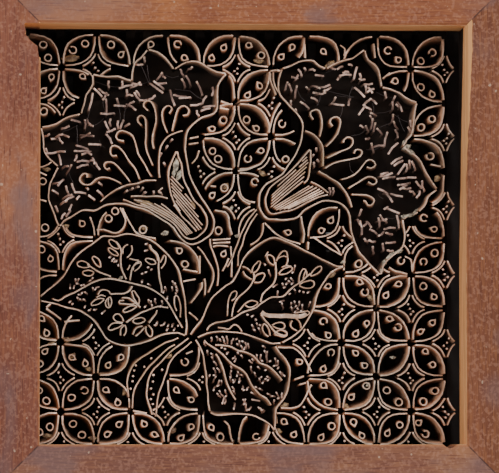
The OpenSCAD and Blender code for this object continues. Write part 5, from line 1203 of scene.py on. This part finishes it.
LEAFLETS = (
    (-57.6, -4.4, -58.5, -2.2, -60.5, -0.7, -62.7, -0.5, -62.2, -2.8, -59.8, -4.4, -57.8, -4.7),
    (-58.2, -8.4, -59, -6.6, -60.6, -5.2, -63, -4.8, -61.7, -7.2, -59.6, -8.3, -58.4, -8.6),
    (-67, -14.2, -67.2, -11.6, -68.8, -9.3, -70.7, -8.8, -70.3, -11.3, -68.8, -13.2, -67.2, -14.2),
    (-72.6, -13.2, -75.4, -11.3, -77.4, -11.2, -78.7, -12.3, -76.9, -14.2, -74, -14.7, -72.2, -14.1),
    (-70.2, -16.8, -71.6, -16.3, -74.2, -16.2, -75.9, -17.1, -73.9, -18.6, -71.4, -18.4, -70.3, -17),
    (-62, -27.6, -62.7, -26.2, -64.9, -25.5, -67.1, -26.3, -68.2, -28),
    (-64.4, -28.8, -66.4, -28.2, -68.8, -29.2),
    (-65.1, -30.1, -68, -29.9, -70.4, -31, -71.6, -32.8, -69.5, -33.1, -67, -32.2, -65.2, -30.5),
    (-62.4, -29, -64.4, -31.2, -64.5, -33.4, -63.2, -34.6, -61.8, -33, -61.5, -30.8, -62.1, -29),
    (-62.8, -29.4, -63.2, -31.6, -62.9, -34),
    (-48.2, -33, -49.8, -31.1, -51.2, -28.6, -51.4, -25.9, -49, -28.2, -47.7, -30.6, -48, -32.8),
    (-51, -31.5, -53.6, -29.8, -56.6, -29.6),
    (-50, -32.4, -51.6, -32.8, -54.6, -32.7, -58, -31.8, -55.6, -31),
    (-49.4, -33.5, -52.3, -33.6, -54.6, -34.7, -55.8, -36.3, -53, -36.2, -50.6, -34.9, -49, -33.7),
    (-55.8, -41.4, -56.7, -38.9, -58.6, -37.4, -60.8, -38.9, -59.8, -41, -57.8, -41.7, -56.1, -42),
    (-56.4, -42.4, -60.2, -42.1, -62.3, -43.5, -63, -45.5, -60, -45, -57.2, -43.9, -56, -42.8),
    (-55.2, -43.2, -57, -45.5, -57.1, -48.5),
    (-55, -43.1, -54.2, -44.8, -54.4, -47, -55.6, -48.6),
    (-45.2, -41.2, -45.4, -40.1, -48.8, -39.8, -51, -40.8, -49.8, -42.2, -47.6, -42.4, -45.4, -41.4),
    (-46.6, -43.8, -49.2, -44.6, -50.9, -47.9),
    (-45.8, -44.6, -47.4, -46.9, -49.7, -48.8),
    (-45, -43.9, -45, -46, -43.8, -48.2, -42.4, -49, -41.5, -47, -42.5, -44.6, -43.8, -43.2),
    (-39.7, -12.1, -40.6, -10.5, -42.5, -9.8, -44.9, -10.1, -43.6, -11.9, -41.6, -12.6, -39.9, -12.3),
    (-37.6, -11.6, -36.4, -9.4, -35.3, -8.1, -34.9, -10.4, -35.8, -13, -37.3, -14.6),
    (-29.4, -36.2, -30.4, -34, -30.9, -31.5, -30, -28.5, -28.1, -31.5, -27.4, -35, -27.7, -39.1),
    (-51, -15.6, -50.8, -13.4, -48.8, -11.5, -47.3, -11.8, -48.2, -14.4, -50.4, -16.2),
    (-56.1, -7.7, -56, -5.2, -54.8, -3.4, -53.4, -2.8), (-51.8, -3.4, -51.5, -5.5, -52.3, -7.4, -54.1, -9.5),
    (-53, -9.8, -50.6, -10.3, -48.4, -10.8), (-53.9, -15.6, -52.6, -12.8),
    (-43.1, -2.6, -42.3, -5, -40.6, -6.6, -39.3, -8.4, -38.9, -10.6),
    (-4.6, -38.3, -4.1, -33, -3.2, -29, -1.6, -26, -0.4, -25.9, -0.1, -28, -0.9, -30, -2.2, -31.2),
    (0.7, -36.7, 2.8, -34.2, 4.8, -32, 6.6, -30.9, 8.6, -30.8, 10.4, -31.8, 8.8, -33.4, 6.2, -34, 4.4, -33),
    (7.7, -17, 6.6, -15.4, 5, -14, 2.9, -13.6), (7.8, -20.1, 6, -19.3, 4.2, -18, 3.1, -15.9),
    (7.9, -16.7, 8.2, -14.6, 9.6, -12.4, 11.6, -11, 11.4, -13.5, 10.2, -15.8, 8.4, -17.1),
    (8.7, -21.1, 9.6, -18.4, 11.3, -17.3, 13.7, -17.2, 13.2, -19.4, 11.8, -21.2, 9, -21.6),
    (19.1, -12.8, 17.3, -12, 15.9, -10.3, 15.3, -7.9, 17.5, -7.9, 18.9, -9.6, 19.2, -12.4),
    (14.3, -8.3, 14.8, -7.4, 15.5, -6),
    (20.1, -10.8, 21.4, -7.8, 23.9, -5.8, 25.2, -8.4, 25.2, -11.8, 24.1, -13.6), (20.5, -9.7, 23.2, -8.5, 25, -8.8),
    (21, -17.1, 22.4, -15.3, 24.8, -14.2, 27.6, -14.4, 25.8, -16.7, 23.4, -17.5, 21.2, -17.4),
    (22.5, -13.8, 24.6, -13.2, 27.1, -13.7),
    (30.7, -21.8, 31, -18.4, 32.2, -15.9, 33.5, -14.7, 34.8, -16.2, 34.7, -18), (32.9, -19.9, 33.6, -17.4, 34.6, -15.4),
    (36.4, -18.2, 37.7, -15.9, 40.2, -13.6, 42, -13.8, 40.9, -16.5, 38.7, -17.7, 36.6, -18.3),
    (30.9, -22.9, 33.8, -21.3, 38, -20.9, 38.4, -22.8, 36.4, -24.3, 33, -24.2, 30.9, -23.3),
    (29.2, -37.1, 32, -36.6, 36.1, -36.7, 34.6, -38.4, 32.4, -39.4, 29, -39.1),
    (13.4, -42.4, 12.8, -44.6, 14.2, -47.6, 16, -48.7), (13.4, -42.4, 15, -43.6, 16.4, -46, 16.8, -48.3),
    (17.5, -43.2, 19.8, -42, 23.1, -42, 23.9, -44, 22.8, -45, 20, -44.8, 17.8, -43.7),
    (18.7, -47.6, 20.6, -46, 23.2, -46.2, 24.8, -47.7, 24, -48.9, 21, -48.5, 19, -47.9),
    (27.7, -40.7, 26.8, -43, 27.8, -44.8, 29.8, -46), (29.6, -39.7, 31, -41, 31.8, -44.6),
    (-9.2, -44.1, -6.6, -44.6, -3.8, -45, -1.8, -43.4, 0, -43.1, 1.8, -44.6, 3, -46.2))
THREADS = (
    (-69.7, 79.6, -62.3, 77.2), (-62.3, 77.2, -57.4, 77.1), (-51.2, 78.2, -42.6, 79.7), (-47.8, 89.4, -43.3, 78.9),
    (-44.2, 88.2, -42.6, 79), (-35.2, 82.9, -28.4, 82.5), (-30.3, 76, -22.9, 75.1), (-22.9, 75, -15.5, 70),
    (-71.6, 69.4, -73.6, 60.3), (-78.9, 57.4, -78.8, 46.2), (-70, 57.4, -65.4, 61.1), (-58.3, 67.4, -57.4, 60),
    (-54.3, 67.4, -55.5, 60), (-75.9, 40.8, -69.7, 35.6), (-67.8, 49.8, -64.8, 46.2), (-86, 54.2, -78.4, 57.4),
    (-66, 72, -64.4, 63.4), (-80.4, 28.4, -82.6, 33.4), (44.6, 84.8, 50.6, 87.9), (43.6, 75.8, 58.4, 72.3),
    (49.9, 73, 58, 72.2), (40.1, 67.9, 42.2, 74.2), (57.7, 77.8, 56.2, 71.6), (57.3, 52.8, 64.7, 56),
    (67.6, 69.3, 68.2, 64.3), (78.8, 63.6, 86.8, 59.4), (69.6, 75.1, 77.4, 72.2), (64.6, 45.8, 72.4, 47.8),
    (56.2, 39.2, 58.4, 33.5), (68.2, 64.3, 78.6, 66.4), (80.2, 63.5, 83.6, 55.1), (73.9, 11.2, 82.2, 12.6),
    (66.8, 55.2, 76.4, 59.2), (70.4, 23.2, 73, 20.9), (30.2, 76.2, 34.2, 70.2), (52.9, 67.8, 51.4, 62))
WAX = (
    (-82, 91, 4.2, 1.6, 8, 1.6), (11, 90.3, 2.4, 1.2, 0, 1.4), (46.4, 88.8, 2.6, 1.3, 35, 1.2),
    (-93.6, 35, 2, 1, 0, 1.6), (99.8, 31.2, 1.8, 1.4, 60, 1.8), (-5.6, 26.7, 2.2, 1.3, 40, 1.8),
    (12.8, 33.5, 2, 1.2, -30, 1.8), (-84.2, 6.2, 1.8, 1, 20, 1.6), (-45.6, 5.6, 1.8, 1, 0, 1.6),
    (47.4, -17.3, 2.2, 1.3, 50, 1.8), (66.4, -29.3, 2.2, 1.2, -40, 1.8), (-90.9, -52.3, 2, 1.2, 30, 1.6),
    (-83.6, -50.8, 1.8, 1.3, -20, 1.8), (-80.5, -58.7, 1.7, 1, 50, 1.6), (-72.6, -65.3, 1.7, 1, 0, 1.8),
    (53.9, -83.8, 2, 1.2, -30, 1.8), (23.9, -83.5, 2, 1.2, 20, 1.6), (-54.7, -76.3, 2.2, 1.2, 70, 1.8),
    (-33.1, -58.8, 1.6, 1, 40, 1.6), (-93.3, -98.7, 2.4, 1.1, 0, 1.4), (-70.6, -100, 2.2, 1.1, 0, 1.4),
    (-31.6, -96.3, 2.2, 1.2, 30, 1.6), (20.4, -96.3, 2.2, 1.2, -20, 1.6), (-39.5, 15.2, 9, 1.9, -24, 1.3),
    (-45, 18.2, 5, 1.1, -12, 1.3), (-21.5, 17.5, 2, 1, -60, 1.6))
SOLDER = (
    (84.6, 46.8, 2.4, 1.2, 30, 0.9), (86.4, 44.6, 2.4, 1, -30, 0.9), (83.4, 49.4, 1.5, 0.9, 60, 1.0),
    (85.6, 12.4, 3.6, 0.8, 12, 0.7), (82.9, 11.6, 1.3, 1.1, 0, 0.8), (88.9, 14.6, 1.8, 0.6, 45, 0.9),
    (80.4, -5.9, 2.2, 0.8, 20, 0.9), (76.4, -7.9, 2.6, 0.9, 40, 0.9), (73.2, -11.6, 1.6, 1.1, 70, 1.0),
    (72, -15.4, 1.6, 0.9, 80, 1.1), (-35.3, 3, 1.9, 1.1, 20, 0.8), (52.9, -11.3, 1.3, 0.8, 30, 1.0),
    (-2.6, 15.7, 1.4, 0.8, 60, 1.3), (-57, -19.5, 1.3, 0.7, 40, 0.8), (0.4, 1.7, 1.2, 0.8, 0, 1.1),
    (65.2, -73, 1.2, 0.8, 50, 1.1), (77.4, -59.3, 1.5, 0.7, 0, 1.2), (-29.9, 37, 3.8, 1.3, 84, 1.2),
    (-28.2, 32.4, 3, 1.2, 65, 1.3), (-31, 33, 2, 0.8, 85, 1.3))


def main() -> None:
    """Dresses the stamp and lights it."""
    logging.basicConfig(level=logging.INFO, format="%(message)s")
    bpy.ops.object.select_all(action="DESELECT")
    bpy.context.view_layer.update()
    for part in (BoxFrame(), Carriers(), Hardware()):
        part.dress()
    strips = WornCopper(STRIPS, Copper("worn_strip_copper"), "strip_copper", tilt=("stamens", 1.8, -0.5))
    strips.build()
    leaflets = Leaflets(LEAFLETS).build()
    strips.wear_edges(leaflets)
    strips.dress(leaflets, "leaflets")
    pin_finish = Copper("worn_pin_copper", rubbed_and_glint=(0.72, 0.5, 0.4), wall=(0.42, 0.22, 0.15), wax=0.2)
    WornCopper(PINS, pin_finish, "pin_copper", lean=6.0, lean_size=7.0, worn_edge=0.08, thinned=0.06).build()
    # Short glow: the wires are painted lit at their raised tips and fade into painted shade towards their knees.
    wire_finish = Copper("wire_copper", rubbed_and_glint=(0.9, 0.68, 0.58), wall=(0.88, 0.62, 0.52), dull=(0.27, 0.16, 0.14),
                         glow=7.0, wax=0.1)
    metals = [wire_finish.build(), CutCopper().build()]
    BentWires("flower_wires", "flower_pins", WIRES, metals).build()
    # The leaf and fern wires get the same short painted light and shade.
    leaf_finish = Copper("leaf_wire_copper", rubbed_and_glint=(0.66, 0.46, 0.38), wall=(0.6, 0.39, 0.31), dull=(0.2, 0.12, 0.1),
                         glow=7.0, wax=0.1)
    metals = [leaf_finish.build(), metals[1]]
    BentWires("leaf_wires", "leaf_pins", LEAF_WIRES, metals, radius=0.42).build()
    BentWires("fern_wires", "fern_pins", FERN_WIRES, metals, radius=0.42).build()
    Threads(THREADS).build()
    Residue("wax_film", Film("old_wax", (0.3, 0.2, 0.1), (0.1, 0.055, 0.03)), WAX).build()
    Residue("solder_lumps", Film("dull_solder", (0.5, 0.44, 0.33), (0.12, 0.1, 0.075)), SOLDER).build()
    studio = Studio()
    studio.floor()
    studio.light()
    studio.camera()


if __name__ == "__main__":
    main()
